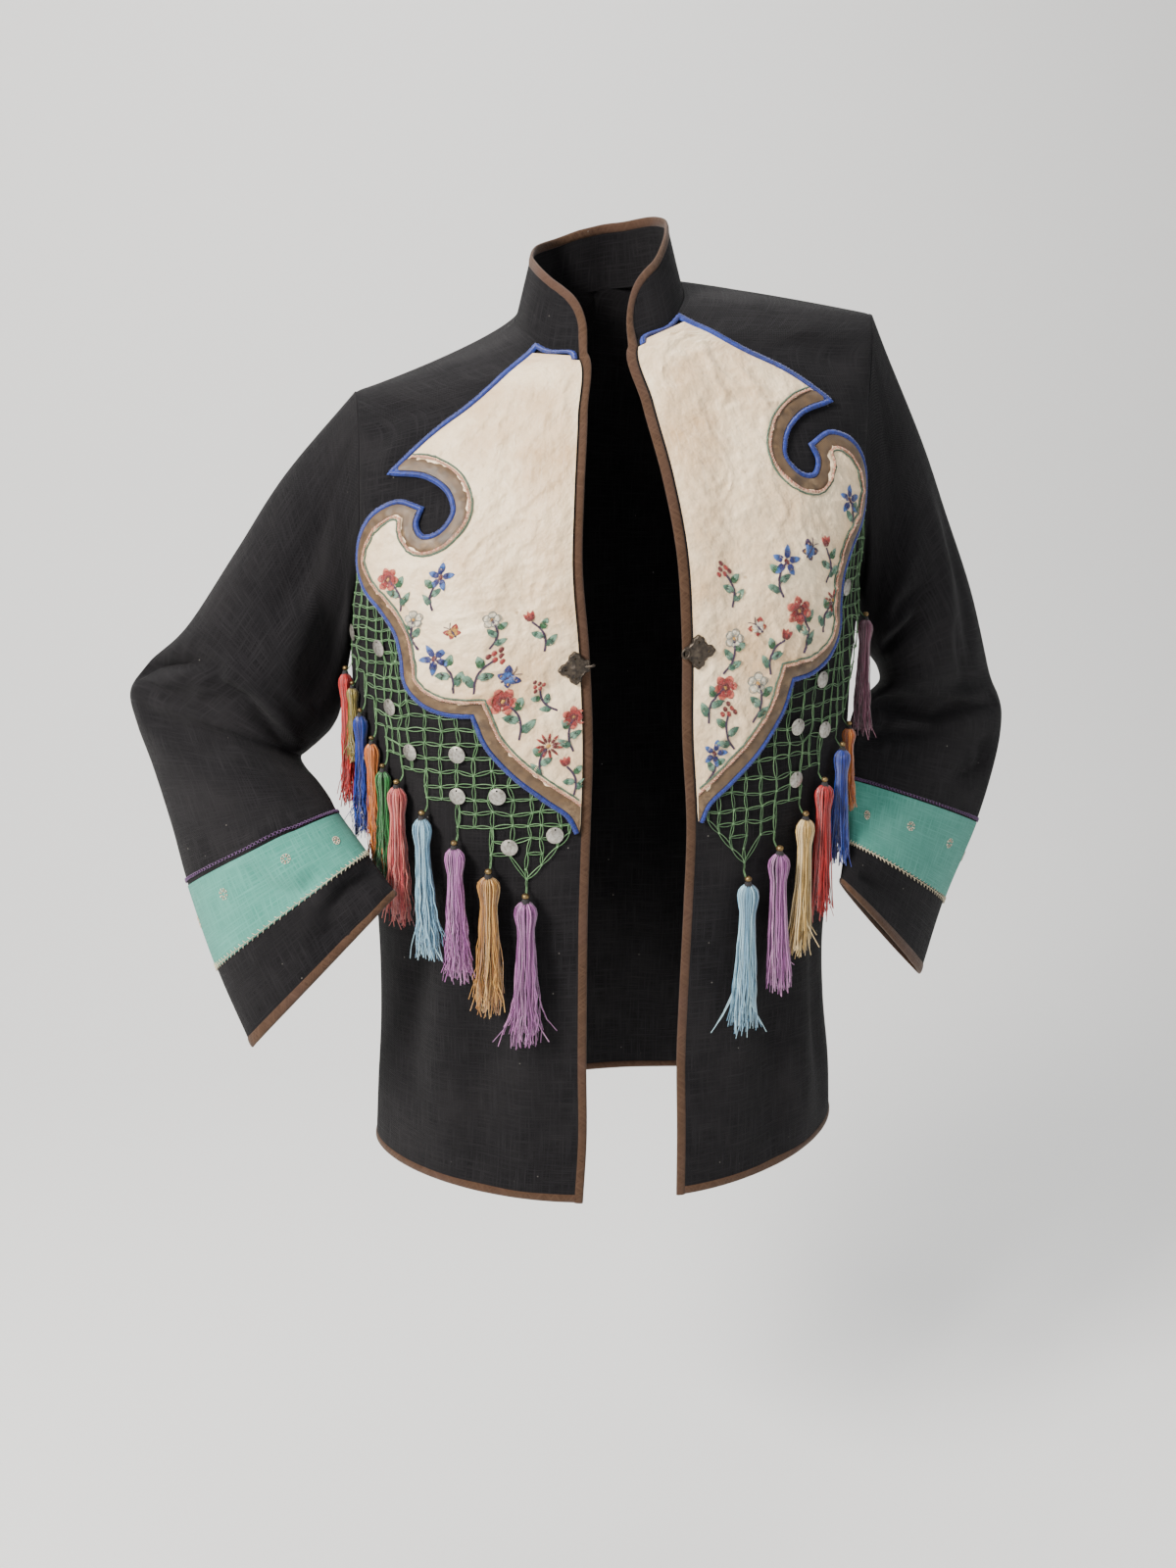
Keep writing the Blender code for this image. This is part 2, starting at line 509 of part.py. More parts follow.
def sleeve(side):
    """A sleeve in three lengths: upper sleeve, band and cuff end."""
    start, stop = BAND_FROM[side], BAND_TO[side]
    seam = SEAM_SECTIONS
    hem = CUFF_END[side] - BINDING_SECTIONS
    upper = [seam, 0.5, *range(1, int(start)), start - seam / 2]
    sleeve_part("sleeve_upper", side, upper, "cloth")
    sleeve_part("sleeve_band", side, np.linspace(start + seam / 2, stop - seam / 2, 3), "band")
    sleeve_part("sleeve_cuff", side, np.linspace(stop + seam / 2, hem - seam / 2, 3), "cloth")
    points, normals = sleeve_grid(side, [hem + BINDING_GAP[side], CUFF_END[side]])
    rolled_binding("cuff_binding_" + side, points[0], points[1], normals[0], closed=True)


# ---- bindings and collar -----------------------------------------------------
def rolled_binding(name, inner, outer, normals, closed=False):
    """A bias binding rolled over an edge: a flat tube between two lines on the cloth."""
    middle = -CLOTH / 2
    high, low = middle + BINDING_THICK / 2, middle - BINDING_THICK / 2
    rings = np.stack([inner + normals * high, outer + normals * high,
                      outer + normals * low, inner + normals * low], axis=1)
    count = len(rings)
    faces = grid_faces(count, 4, closed=True)
    if closed:
        last = (count - 1) * 4
        faces += [(last + k, last + (k + 1) % 4, (k + 1) % 4, k) for k in range(4)]
    else:
        faces += [(0, 1, 2, 3), tuple(range(count * 4 - 4, count * 4))]
    solid(name, rings.reshape(-1, 3), faces, "binding")


def hem_binding(part, side, columns=12):
    """Lines and normals of the hem's binding along a front or half the back."""
    start = BINDING + SEAM if part == "front" else 0.0
    inner_end = width(part, side, BINDING) - SEAM
    outer_end = width(part, side, 0.0) - SEAM
    share = np.linspace(0, 1, columns)
    inner = on_panel(part, side, start + share * (inner_end - start), BINDING)
    outer = on_panel(part, side, start + share * (outer_end - start), 0.0)
    return inner, outer, panel_normal(part, side, start + share * (inner_end - start), BINDING)


def neckline():
    """The neckline as one line of points, from the right front edge round to the left."""
    halves = []
    for side in SIGN:
        front, back = panel_grid("front", side)[0], panel_grid("back", side)[0]
        start = on_panel("front", side, 0.0, NECK)
        halves.append(np.vstack([start, front[-NECK_STEPS:, 0], back[-2:-NECK_STEPS - 2:-1, 0]]))
    return np.vstack([halves[0], halves[1][-2::-1]])


class Collar:
    """The stand collar: a band that follows the neckline, its front corners rounded."""

    def __init__(self):
        self.base = neckline()
        steps = np.linalg.norm(np.diff(self.base, axis=0), axis=1)
        self.places = np.concatenate([[0], np.cumsum(steps)])
        self.length = self.places[-1]
        self.middle = self.base.mean(axis=0)

    def edge(self, along, inset=0.0):
        """Height of the collar's top edge, less an inset, at places along it."""
        near = np.minimum(along, self.length - along) - inset
        corner = COLLAR_CORNER - inset
        bend = np.sqrt(np.clip(1 - np.clip(1 - near / corner, 0, 1) ** 2, 0, 1))
        return COLLAR_END + (COLLAR_HEIGHT - inset - COLLAR_END) * bend

    def point(self, along, height):
        """A place on the outer face: metres along the neckline and up the band."""
        foot = np.stack([np.interp(along, self.places, self.base[:, k]) for k in range(3)], -1)
        inward = (self.middle - foot) * np.array([1.0, 1.0, 0.0])
        frontness = np.clip(-foot[..., 1:2] / NECK_DEPTH, 0, 1)
        lean = unit(inward) * (COLLAR_LEAN + COLLAR_FRONT_LEAN * frontness)
        upward = unit(lean + np.array([0.0, 0.0, 1.0]))
        return foot + upward * (np.asarray(height)[..., None] + COLLAR_LIFT)

    def stations(self, inset):
        """Places along the collar, closer round its front corners, from an inset at each end."""
        near = COLLAR_CORNER * (1 - np.cos(np.linspace(0, math.pi / 2, 7)))
        near = inset + near * (1 - inset / COLLAR_CORNER)
        clear = COLLAR_CORNER + BINDING
        middle = self.places[(self.places > clear) & (self.places < self.length - clear)]
        return np.concatenate([near, middle, self.length - near[::-1]])

    def normal(self, along, height, reach=0.004):
        """Outward direction of the collar at one or more places."""
        before, after = np.maximum(along - reach, 0), np.minimum(along + reach, self.length)
        forward = self.point(after, height) - self.point(before, height)
        upward = self.point(along, height + reach) - self.point(along, height)
        return unit(np.cross(upward, forward))


def stand_collar(collar):
    """The collar's cloth, inside its binding."""
    inset = BINDING + SEAM
    along = collar.stations(inset)
    top = collar.edge(along, inset)
    points, normals = [], []
    for share in COLLAR_ROWS:
        points.append(collar.point(along, top * share))
        normals.append(collar.normal(along, top * share))
    faces = grid_faces(4, len(along))
    wall("stand_collar", np.vstack(points), np.vstack(normals), faces, -CLOTH, 0.0, "cloth")


def front_binding(collar):
    """One long binding: up the right front edge, round the collar and down the left."""
    inner, outer, normals = [], [], []
    levels = body_levels()
    ups = [0.0, *levels[levels < NECK - BINDING], NECK - 2 * SEAM]
    for up in ups:
        edge = on_panel("front", "right", np.array([BINDING, 0.0]), up)
        inner.append(edge[0])
        outer.append(edge[1])
        normals.append(panel_normal("front", "right", np.array([BINDING / 2]), up)[0])
    along, inner_along = collar.stations(0.0), collar.stations(BINDING)
    outer_up = collar.edge(along)
    inner_up = collar.edge(inner_along, BINDING)
    along, inner_along = (np.concatenate([a[:1], a, a[-1:]]) for a in (along, inner_along))
    outer_up, inner_up = (np.concatenate([[0], up, [0]]) for up in (outer_up, inner_up))
    inner += [collar.point(a, h) for a, h in zip(inner_along, inner_up)]
    outer += [collar.point(a, h) for a, h in zip(along, outer_up)]
    normals += [collar.normal(a, h) for a, h in zip(inner_along, inner_up)]
    for up in ups[::-1]:
        edge = on_panel("front", "left", np.array([BINDING, 0.0]), up)
        inner.append(edge[0])
        outer.append(edge[1])
        normals.append(panel_normal("front", "left", np.array([BINDING / 2]), up)[0])
    rolled_binding("front_binding", np.array(inner), np.array(outer), np.array(normals))


# ---- what lies on the fronts -------------------------------------------------
def smooth_run(points, spacing):
    """A smooth curve through a run of points, with its ends kept, at even spacing."""
    points = np.array(points, float)
    chord = np.concatenate([[0], np.cumsum(np.linalg.norm(np.diff(points, axis=0), axis=1))])
    steps = max(2, round(chord[-1] / spacing))
    return np.array([smooth(chord, points, at) for at in np.linspace(0, chord[-1], steps + 1)])


def outline(names, spacing=0.012):
    """Runs of the yoke's outline, joined at their shared corners."""
    runs = [smooth_run(YOKE_RUNS[name], spacing) for name in names]
    return np.vstack([runs[0], *[run[1:] for run in runs[1:]]])


def distance_to(line, points):
    """Shortest distance from each point to a line of straight pieces."""
    starts, spans = line[:-1], np.diff(line, axis=0)
    offset_from = points[:, None] - starts[None]
    share = np.clip((offset_from * spans).sum(-1) / (spans * spans).sum(-1), 0, 1)
    return np.linalg.norm(offset_from - share[..., None] * spans, axis=-1).min(axis=1)


def beside(line, distance):
    """The line moved sideways, to the yoke's side where positive, with no crossings."""
    heading = unit(np.diff(line, axis=0))
    heading = np.vstack([heading[:1], heading, heading[-1:]])
    across = np.stack([heading[:, 1], -heading[:, 0]], -1)
    bisector = unit(across[:-1] + across[1:])
    mitre = np.clip((bisector * across[:-1]).sum(-1), 0.6, 1)
    moved = line + bisector * (distance / mitre)[:, None]
    return moved[distance_to(line, moved) > abs(distance) * 0.97]


def on_front(side, flat, lift=0.0):
    """Points on or above a front: rows of (across, up) in metres of cloth."""
    points = np.vstack([on_panel("front", side, a, up) for a, up in flat])
    return points + lift * front_normals(side, flat) if lift else points


def front_normals(side, flat):
    """Outward directions of a front at rows of (across, up)."""
    return np.vstack([panel_normal("front", side, np.array([a]), up)[0] for a, up in flat])


def patch(name, side, border, holes, low, high, look, lattice=None):
    """A flat shape on a front, cut to its border and holes, with a wall's thickness."""
    loops = [np.asarray(border)] + [np.asarray(hole) for hole in holes]
    vertices = [Vector(p) for loop in loops for p in loop]
    edges, first = [], 0
    for loop in loops:
        edges += [(first + i, first + (i + 1) % len(loop)) for i in range(len(loop))]
        first += len(loop)
    if lattice is not None:
        vertices += [Vector(p) for p in lattice]
    found = geometry.delaunay_2d_cdt(vertices, edges, [], 0, 1e-7)
    flat = np.array([tuple(v) for v in found[0]])
    middles = np.array([flat[list(f)].mean(axis=0) for f in found[2]])
    inside = within(loops[0], middles)
    for hole in loops[1:]:
        inside &= ~within(hole, middles)
    faces = [tuple(f) for f, kept in zip(found[2], inside) if kept]
    used = sorted({v for f in faces for v in f})
    place = {v: i for i, v in enumerate(used)}
    turned = 1 if side == "left" else -1
    faces = [tuple(place[v] for v in f)[::turned] for f in faces]
    return wall(name, on_front(side, flat[used]), front_normals(side, flat[used]), faces,
                low, high, look)


def within(loop, points):
    """Whether each point lies inside a closed loop."""
    ends = np.roll(loop, -1, axis=0)
    spans = (loop[:, 1] > points[:, 1:]) != (ends[:, 1] > points[:, 1:])
    rise = np.where(ends[:, 1] == loop[:, 1], 1.0, ends[:, 1] - loop[:, 1])
    meets = loop[:, 0] + (points[:, 1:] - loop[:, 1]) * (ends[:, 0] - loop[:, 0]) / rise
    return (spans & (points[:, :1] < meets)).sum(axis=1) % 2 == 1


def yoke(side):
    """The satin yoke with its corded edging and its ribbon, each a piece of its own."""
    whole = outline(YOKE_RUNS)
    inner = beside(whole, EDGING / 2 + SEAM)
    front_edge = BINDING + 2 * SEAM
    closing = [(front_edge, up) for up in np.linspace(
        inner[-1][1] + CLOSING_BELOW, NECK - CLOSING_ABOVE, CLOSING_POINTS)]
    border = np.vstack([inner[inner[:, 0] > front_edge + SEAM], closing])
    grid = np.stack(np.meshgrid(*[np.arange(*steps) for steps in LATTICE]), -1).reshape(-1, 2)
    grid = grid[within(border, grid)]
    grid = grid[distance_to(np.vstack([border, border[:1]]), grid) > LATTICE_CLEAR]
    patch("yoke_" + side, side, border, [], YOKE_LOW, YOKE_HIGH, "satin", grid)

    cord = np.vstack([beside(whole, EDGING / 2), beside(whole, -EDGING / 2)[::-1]])
    patch("yoke_edging_" + side, side, cord, [], EDGING_LOW, EDGING_HIGH, "edging")

    bound = outline(["hook", "lobe", "sweep"])
    ribbon_inner = beside(bound, EDGING / 2 + SEAM + RIBBON)
    slope = outline(["neck", "slope"])
    ribbon_inner = ribbon_inner[distance_to(slope, ribbon_inner) > EDGING]
    ribbon_inner = ribbon_inner[within(border, ribbon_inner)]
    start = int(np.argmin(np.linalg.norm(inner[:40] - ribbon_inner[0], axis=1)))
    outer = inner[start + 1:]
    outer = outer[outer[:, 0] > front_edge + SEAM]
    patch("yoke_ribbon_" + side, side, np.vstack([outer, ribbon_inner[::-1]]), [],
          RIBBON_LOW, RIBBON_HIGH, "ribbon")


def clipped(polygon, start, end):
    """The part of a flat polygon to the right of a line from start to end."""
    direction = np.subtract(end, start)
    side_of = [direction[1] * (p[0] - start[0]) - direction[0] * (p[1] - start[1])
               for p in polygon]
    kept = []
    for i, point in enumerate(polygon):
        before, reach, last = polygon[i - 1], side_of[i], side_of[i - 1]
        if (reach > 0) != (last > 0):
            kept.append(np.asarray(before) + (np.subtract(point, before)) * last / (last - reach))
        if reach > 0:
            kept.append(np.asarray(point))
    return kept


def area(polygon):
    """Area of a flat polygon."""
    x, y = np.array(polygon).T
    return abs(np.dot(x, np.roll(y, 1)) - np.dot(y, np.roll(x, 1))) / 2


def net_rows(side):
    """The upright strands of one net, each with its columns named."""
    rows = [dict(zip(NET_COLUMNS, row)) for row in NET_ROWS]
    for row in rows:
        row["foot"] = row["foot_" + side]
    return rows


def net_strand(row, up):
    """Place across the cloth of an upright strand of the net at one height."""
    foot_up = min(row["foot_front"], row["foot_outer"])
    share = (up - foot_up) / (row["top_up"] - foot_up)
    return row["foot"] + (row["top_across"] - row["foot"]) * share


def net_holes(rows):
    """The meshes of the net, each a flat polygon between its strands."""
    holes, half = [], STRAND / 2
    for front, outer in zip(rows[:-1], rows[1:]):
        lines = [((front["top_across"], front["top_up"] - STRAND),
                  (outer["top_across"], outer["top_up"] - STRAND)),
                 ((outer["foot"], outer["foot_front"] + half),
                  (front["foot"], front["foot_outer"] + half))]
        heights = np.arange(NET_LOWEST, NET_HIGHEST, NET_PITCH)
        for low, high in zip(heights[:-1] + half, heights[1:] - half):
            cell = [(net_strand(front, low) + half, low), (net_strand(outer, low) - half, low),
                    (net_strand(outer, high) - half, high), (net_strand(front, high) + half, high)]
            for line in lines:
                cell = clipped(cell, *line) if len(cell) > 2 else []
            if len(cell) > 2 and area(cell) > MESH_LEAST:
                holes.append(cell)
    return holes


def net(side):
    """The knotted net, hung from the yoke's edge, with a tail of cord for each tassel."""
    half = STRAND / 2
    edge = beside(outline(["lobe", "sweep"]), -(EDGING / 2 + SEAM))
    rows = net_rows(side)
    first = np.argmin(np.linalg.norm(edge - np.array(NET_ROWS[-1][:2]), axis=1))
    last = np.argmin(np.linalg.norm(edge - np.array(NET_ROWS[0][:2]), axis=1))
    border = list(edge[first:last + 1])
    tails = {row[0] for row in TASSELS[side]}
    for i, row in enumerate(rows):
        foot, front, outer = row["foot"], row["foot_front"], row["foot_outer"]
        if i == 0:
            border.append((foot - half, front - half))
            continue
        if i not in tails:
            border.append((foot, front - half))
            if outer > front:
                border += [(foot + half, front - half), (foot + half, outer - half)]
            continue
        end = front - TAIL
        border += [(foot - half, front - half), (foot - half, end), (foot + half, end)]
        if i < len(rows) - 1:
            border.append((foot + half, outer - half))
    closed = np.vstack([border, border[:1]])
    holes = [clear_of(closed, np.array(hole), half) for hole in net_holes(rows)]
    patch("net_" + side, side, border, holes, NET_LOW, NET_HIGH, "net")


def clear_of(border, hole, margin):
    """A mesh drawn in where it comes closer to the net's border than a margin."""
    middle = hole.mean(axis=0)
    for _ in range(8):
        near = (distance_to(border, hole) < margin) | ~within(border[:-1], hole)
        hole = np.where(near[:, None], hole + (middle - hole) * 0.15, hole)
    return hole


def disc(name, side, across, up):
    """A thin silver disc sewn flat on the net."""
    turn = np.linspace(0, 2 * math.pi, DISC_SIDES, endpoint=False)
    flat = np.stack([across + DISC_RADIUS * np.cos(turn), up + DISC_RADIUS * np.sin(turn)], -1)
    centre = on_front(side, [(across, up)])[0]
    normal = front_normals(side, [(across, up)])[0]
    ring = on_front(side, flat) - centre
    ring -= np.outer(ring @ normal, normal)
    low = NET_HIGH + SEAM
    faces = [*grid_faces(2, DISC_SIDES, closed=True), tuple(range(DISC_SIDES)),
             tuple(range(DISC_SIDES, 2 * DISC_SIDES))]
    vertices = np.vstack([centre + ring + normal * (low + DISC_THICK), centre + ring + normal * low])
    solid(name, vertices, faces, "silver")


def tassel(name, side, strand, length, head, colour):
    """A bead, tied neck and head in one turned body, with locks fused under the head."""
    row = net_rows(side)[strand]
    place = [(row["foot"], row["foot_front"] - TAIL - SEAM)]
    tie, outward = on_front(side, place)[0], front_normals(side, place)[0]
    profile = ((TIE_RADIUS, (NET_LOW + NET_HIGH) / 2, 0.0),
               (BEAD_RADIUS, BEAD_RADIUS + TASSEL_LIFT, BEAD_DROP),
               (head, head + TASSEL_LIFT, HEAD_DROP),
               (head * HEAD_WAIST, head + TASSEL_LIFT, HEAD_FOOT))
    turn = np.linspace(0, 2 * math.pi, TASSEL_SIDES, endpoint=False)
    circle = np.stack([np.cos(turn), np.sin(turn), 0 * turn], -1)
    vertices = np.vstack([tie + outward * lift + circle * radius - (0, 0, drop)
                          for radius, lift, drop in profile])
    faces = [*grid_faces(len(profile), TASSEL_SIDES, closed=True), tuple(range(TASSEL_SIDES)),
             tuple(range(len(vertices) - TASSEL_SIDES, len(vertices)))]
    locks(solid(name, vertices, faces, colour), length)


def locks(made, length):
    """Draw the locks of thread out of the underside of a tassel's head."""
    work = bmesh.new()
    work.from_mesh(made.data)
    base = max(work.faces, key=lambda f: (len(f.verts), -f.calc_center_median().z))
    wedges = bmesh.ops.poke(work, faces=[base])["faces"]
    bmesh.ops.inset_individual(work, faces=wedges, thickness=LOCK_INSET, use_even_offset=True)
    centre = sum((f.calc_center_median() for f in wedges), Vector()) / len(wedges)
    ends = bmesh.ops.extrude_discrete_faces(work, faces=wedges)["faces"]
    for i, face in enumerate(ends):
        spread = (face.calc_center_median() - centre) * LOCK_SPREAD
        drop = length - HEAD_FOOT - LOCK_STEP * (i % 3)
        for vertex in face.verts:
            vertex.co += Vector((spread.x, spread.y, -drop))
    work.to_mesh(made.data)
    work.free()


def clasp(side):
    """A lobed bronze plate of the front fastening."""
    turn = np.linspace(0, 2 * math.pi, CLASP_POINTS, endpoint=False)
    radius = CLASP_RADIUS + CLASP_LOBE * np.cos(CLASP_LOBES * turn)
    flat = np.stack([CLASP_ACROSS + radius * np.cos(turn), CLASP_UP + radius * np.sin(turn)], -1)
    flat[:, 0] = np.maximum(flat[:, 0], 0.0)
    patch("clasp_" + side, side, flat, [], CLASP_LOW, CLASP_HIGH, "bronze")


for each_side in SIGN:
    front_panel(each_side)
    sleeve(each_side)
    yoke(each_side)
    net(each_side)
    clasp(each_side)
    rolled_binding("hem_binding_" + each_side, *hem_binding("front", each_side))
    for number, (disc_across, disc_up) in enumerate(DISCS[each_side], start=1):
        disc(f"disc_{each_side}_{number}", each_side, disc_across, disc_up)
    for number, hung in enumerate(TASSELS[each_side], start=1):
        tassel(f"tassel_{each_side}_{number}", each_side, *hung)
back_panel()
half_hems = [hem_binding("back", each_side) for each_side in SIGN]
rolled_binding("hem_binding_back", *[np.vstack([right[::-1], left[1:]])
                                     for right, left in zip(*half_hems)])
jacket_collar = Collar()
stand_collar(jacket_collar)
front_binding(jacket_collar)
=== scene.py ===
"""An embroidered open-front jacket in its worn form, dressed over its solid parts.

Metres, +Z up; the open front faces -Y and the wearer's left is +X.
"""

import math

import bmesh
import bpy
import numpy as np
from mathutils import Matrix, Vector, geometry, noise
from mathutils.bvhtree import BVHTree


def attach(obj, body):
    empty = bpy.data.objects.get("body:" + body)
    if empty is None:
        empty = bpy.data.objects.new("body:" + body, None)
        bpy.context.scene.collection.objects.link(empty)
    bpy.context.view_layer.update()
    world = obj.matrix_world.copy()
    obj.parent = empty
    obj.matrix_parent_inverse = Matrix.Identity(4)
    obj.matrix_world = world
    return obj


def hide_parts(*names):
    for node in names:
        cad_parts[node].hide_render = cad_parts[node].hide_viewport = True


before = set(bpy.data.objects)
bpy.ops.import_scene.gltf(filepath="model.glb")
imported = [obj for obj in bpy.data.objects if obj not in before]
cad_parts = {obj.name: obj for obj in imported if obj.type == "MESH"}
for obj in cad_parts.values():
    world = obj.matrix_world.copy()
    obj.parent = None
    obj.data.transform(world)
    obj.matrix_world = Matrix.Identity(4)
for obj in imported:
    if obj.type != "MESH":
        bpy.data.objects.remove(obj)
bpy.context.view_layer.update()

# ---- The two fronts -----------------------------------------------------------------
# Each front is one length of dark hand-woven hemp, doubled, that hangs from the shoulder
# seam. It carries the satin yoke and the net, and its free edges are bound.
MM = 0.001                # lengths in the tables are millimetres
CLOTH = 0.0015            # the doubled cloth
ARMPIT, NECK, TOP = 0.425, 0.621, 0.705      # heights of cloth above the hem
EDGE_IN = 0.004           # how far the raw edge lies inside its binding
SIGN = {"right": -1.0, "left": 1.0}
TILT = math.tan(math.radians(8.2))           # the right shoulder hangs lower
TILT_FROM, TILT_TO = -0.5, -0.05
SHOULDER_BEND = {"right": 0.65, "left": 1.12}
NECK_DROP = {"right": 0.009, "left": 0.0}

# One row for each height of cloth: the free edge, then the side seam or armhole.
ROW_NAMES = ("edge_z", "edge_y", "edge_x_right", "edge_x_left",
             "side_z", "side_y", "side_x_right", "side_x_left", "fullness")
FRONT_ROWS = (
    (0, -643, -120, 36, 35, -638, 0, 184, 190, 1.7),
    (50, -593, -119, 33, 35, -590, 0, 181, 187, 1.75),
    (110, -533, -118, 33, 34, -534, 0, 177, 180, 1.8),
    (170, -473, -120, 33, 35, -476, 0, 176, 176, 1.9),
    (230, -413, -124, 33, 36, -416, 0, 178, 179, 2.0),
    (290, -353, -129, 32, 36, -356, 0, 182, 184, 2.1),
    (355, -288, -133, 31, 31, -291, 0, 187, 186, 2.2),
    (425, -218, -135, 34, 29, -225, 0, 189, 187, 2.2),
    (480, -163, -133, 38, 25, -180, -36, 186, 183, 2.0),
    (530, -114, -122, 35, 17, -135, -52, 182, 180, 1.8),
    (580, -67, -98, 29, 8, -92, -48, 180, 183, 1.6),
    (621, -28, -75, 26, 3, -60, -34, 179, 189, 1.4),
    (650, -21, -61, 48, 31, -43, -20, 179, 194, 1.3),
    (676, -5, -36, 61, 49, -35, -8, 179, 197, 1.2),
    (705, 8, 2, 65, 56, -33, 4, 179, 199, 1.2),
)
BACK_ROWS = (
    (0, -645, 110, 0, 0, -638, 0, 184, 190, 2.0),
    (50, -595, 106, 0, 0, -590, 0, 181, 187, 2.0),
    (110, -535, 99, 0, 0, -534, 0, 177, 180, 2.1),
    (170, -475, 93, 0, 0, -476, 0, 176, 176, 2.2),
    (230, -415, 94, 0, 0, -416, 0, 178, 179, 2.3),
    (290, -355, 100, 0, 0, -356, 0, 182, 184, 2.3),
    (355, -288, 108, 0, 0, -291, 0, 187, 186, 2.3),
    (425, -215, 114, 0, 0, -225, 0, 189, 187, 2.3),
    (480, -150, 114, 0, 0, -180, 40, 186, 184, 2.0),
    (530, -92, 106, 0, 0, -135, 58, 182, 182, 1.8),
    (580, -38, 87, 0, 0, -92, 56, 180, 185, 1.6),
    (621, 12.5, 61, 0, 0, -60, 44, 179, 190, 1.4),
    (650, 13, 54, 34, 27, -43, 30, 179, 195, 1.3),
    (676, 13, 34, 56, 47, -35, 17, 179, 198, 1.2),
    (705, 8, 2, 65, 56, -33, 4, 179, 199, 1.2),
)
# Soft creases: half width, how far the cloth moves out, then the line (across, up) it follows.
FRONT_CREASES = {
    "right": (
        (16, -5, (150, 50), (140, 160), (118, 250)),
        (18, 4.5, (118, 20), (112, 120), (100, 220)),
        (15, -4, (80, 0), (78, 100), (70, 190)),
        (14, 3, (45, 0), (46, 130), (50, 240)),
        (12, -3.5, (190, 430), (160, 360), (120, 300)),
        (12, 3, (205, 400), (175, 330), (140, 260)),
        (12, -2.5, (185, 600), (150, 620), (115, 650)),
        (10, 2, (190, 570), (150, 590), (125, 620)),
        (20, 3.5, (70, 380), (80, 460), (95, 550)),
        (14, -2.5, (35, 420), (45, 500), (60, 580))),
    "left": (
        (16, -5.5, (160, 20), (150, 130), (125, 240)),
        (18, 4.5, (125, 0), (120, 120), (105, 220)),
        (13, -4, (90, 0), (85, 90), (72, 170)),
        (14, 3, (50, 20), (52, 120), (48, 220)),
        (13, -4, (195, 420), (165, 350), (130, 270)),
        (12, 3, (180, 440), (150, 380), (110, 310)),
        (12, -2.5, (180, 610), (145, 620), (110, 640)),
        (18, 3.5, (75, 360), (85, 450), (90, 540)),
        (13, -2.8, (30, 400), (40, 490), (55, 600))),
}


def unit(vectors):
    """Vectors of length one."""
    return vectors / np.linalg.norm(vectors, axis=-1, keepdims=True)


def smooth(places, table, at):
    """Read a table between its rows, on a smooth curve through them."""
    places, table = np.asarray(places, float), np.asarray(table, float)
    slopes = np.gradient(table, places, axis=0)
    at = np.clip(at, places[0], places[-1])
    i = min(np.searchsorted(places, at, side="right") - 1, len(places) - 2)
    step = places[i + 1] - places[i]
    t = (at - places[i]) / step
    return ((2 * t**3 - 3 * t**2 + 1) * table[i] + (t**3 - 2 * t**2 + t) * step * slopes[i]
            + (3 * t**2 - 2 * t**3) * table[i + 1] + (t**3 - t**2) * step * slopes[i + 1])


def run_lengths(line):
    """How far along a line each of its points lies."""
    return np.concatenate([[0], np.cumsum(np.linalg.norm(np.diff(line, axis=0), axis=1))])


def read_line(at, lengths, line):
    """Points of a line at lengths along it."""
    return np.stack([np.interp(at, lengths, line[:, k]) for k in range(line.shape[1])], -1)


def read_grid(table, row, column):
    """A grid of points read between its rows and columns."""
    i, j = row.astype(int), column.astype(int)
    r, c = (row - i)[:, None], (column - j)[:, None]
    return ((table[i, j] * (1 - c) + table[i, j + 1] * c) * (1 - r)
            + (table[i + 1, j] * (1 - c) + table[i + 1, j + 1] * c) * r)


def level(part, side, up):
    """One height of a front or half the back: its line from edge to side, and its lengths."""
    rows = np.array(FRONT_ROWS if part == "front" else BACK_ROWS) * ([MM] * 9 + [1.0])
    row = dict(zip(ROW_NAMES, smooth(rows[:, 0], rows[:, 1:], up)))
    turn = np.linspace(0, math.pi / 2, 161)
    outward = np.sin(turn) ** (2 / row["fullness"])
    forward = np.cos(turn) ** (2 / row["fullness"])
    edge_x, side_x = row["edge_x_" + side], row["side_x_" + side]
    edge_z = row["edge_z"] - NECK_DROP[side] * max(0.0, (up - NECK) / (TOP - NECK))
    side_y = row["side_y"] if up > ARMPIT else 0.0
    line = np.stack([
        SIGN[side] * (edge_x + (side_x - edge_x) * outward),
        side_y + (row["edge_y"] - side_y) * forward,
        edge_z + (row["side_z"] - edge_z) * outward ** SHOULDER_BEND[side]], -1)
    rise = np.clip((line[:, 2] - TILT_FROM) / (TILT_TO - TILT_FROM), 0, 1)
    line[:, 2] += line[:, 0] * TILT * rise * rise * (3 - 2 * rise)
    return line, run_lengths(line)


def nearest_on(line, flat):
    """For each flat place: its distance from a line of straight pieces, and how far along."""
    starts, spans = line[:-1], np.diff(line, axis=0)
    offset = flat[:, None] - starts[None]
    share = np.clip((offset * spans).sum(-1) / (spans * spans).sum(-1), 0, 1)
    away = np.linalg.norm(offset - share[..., None] * spans, axis=-1)
    nearest = away.argmin(axis=1)
    each = np.arange(len(flat))
    return away[each, nearest], (nearest + share[each, nearest]) / len(spans)


def creased(flat, creases):
    """How far soft creases move the cloth out at flat places; each fades at its two ends."""
    moved = np.zeros(len(flat))
    for reach, depth, *line in creases:
        away, along = nearest_on(np.array(line) * MM, flat)
        moved += depth * MM * np.exp(-(away / (reach * MM)) ** 2) * np.sin(np.pi * along) ** 0.6
    return moved


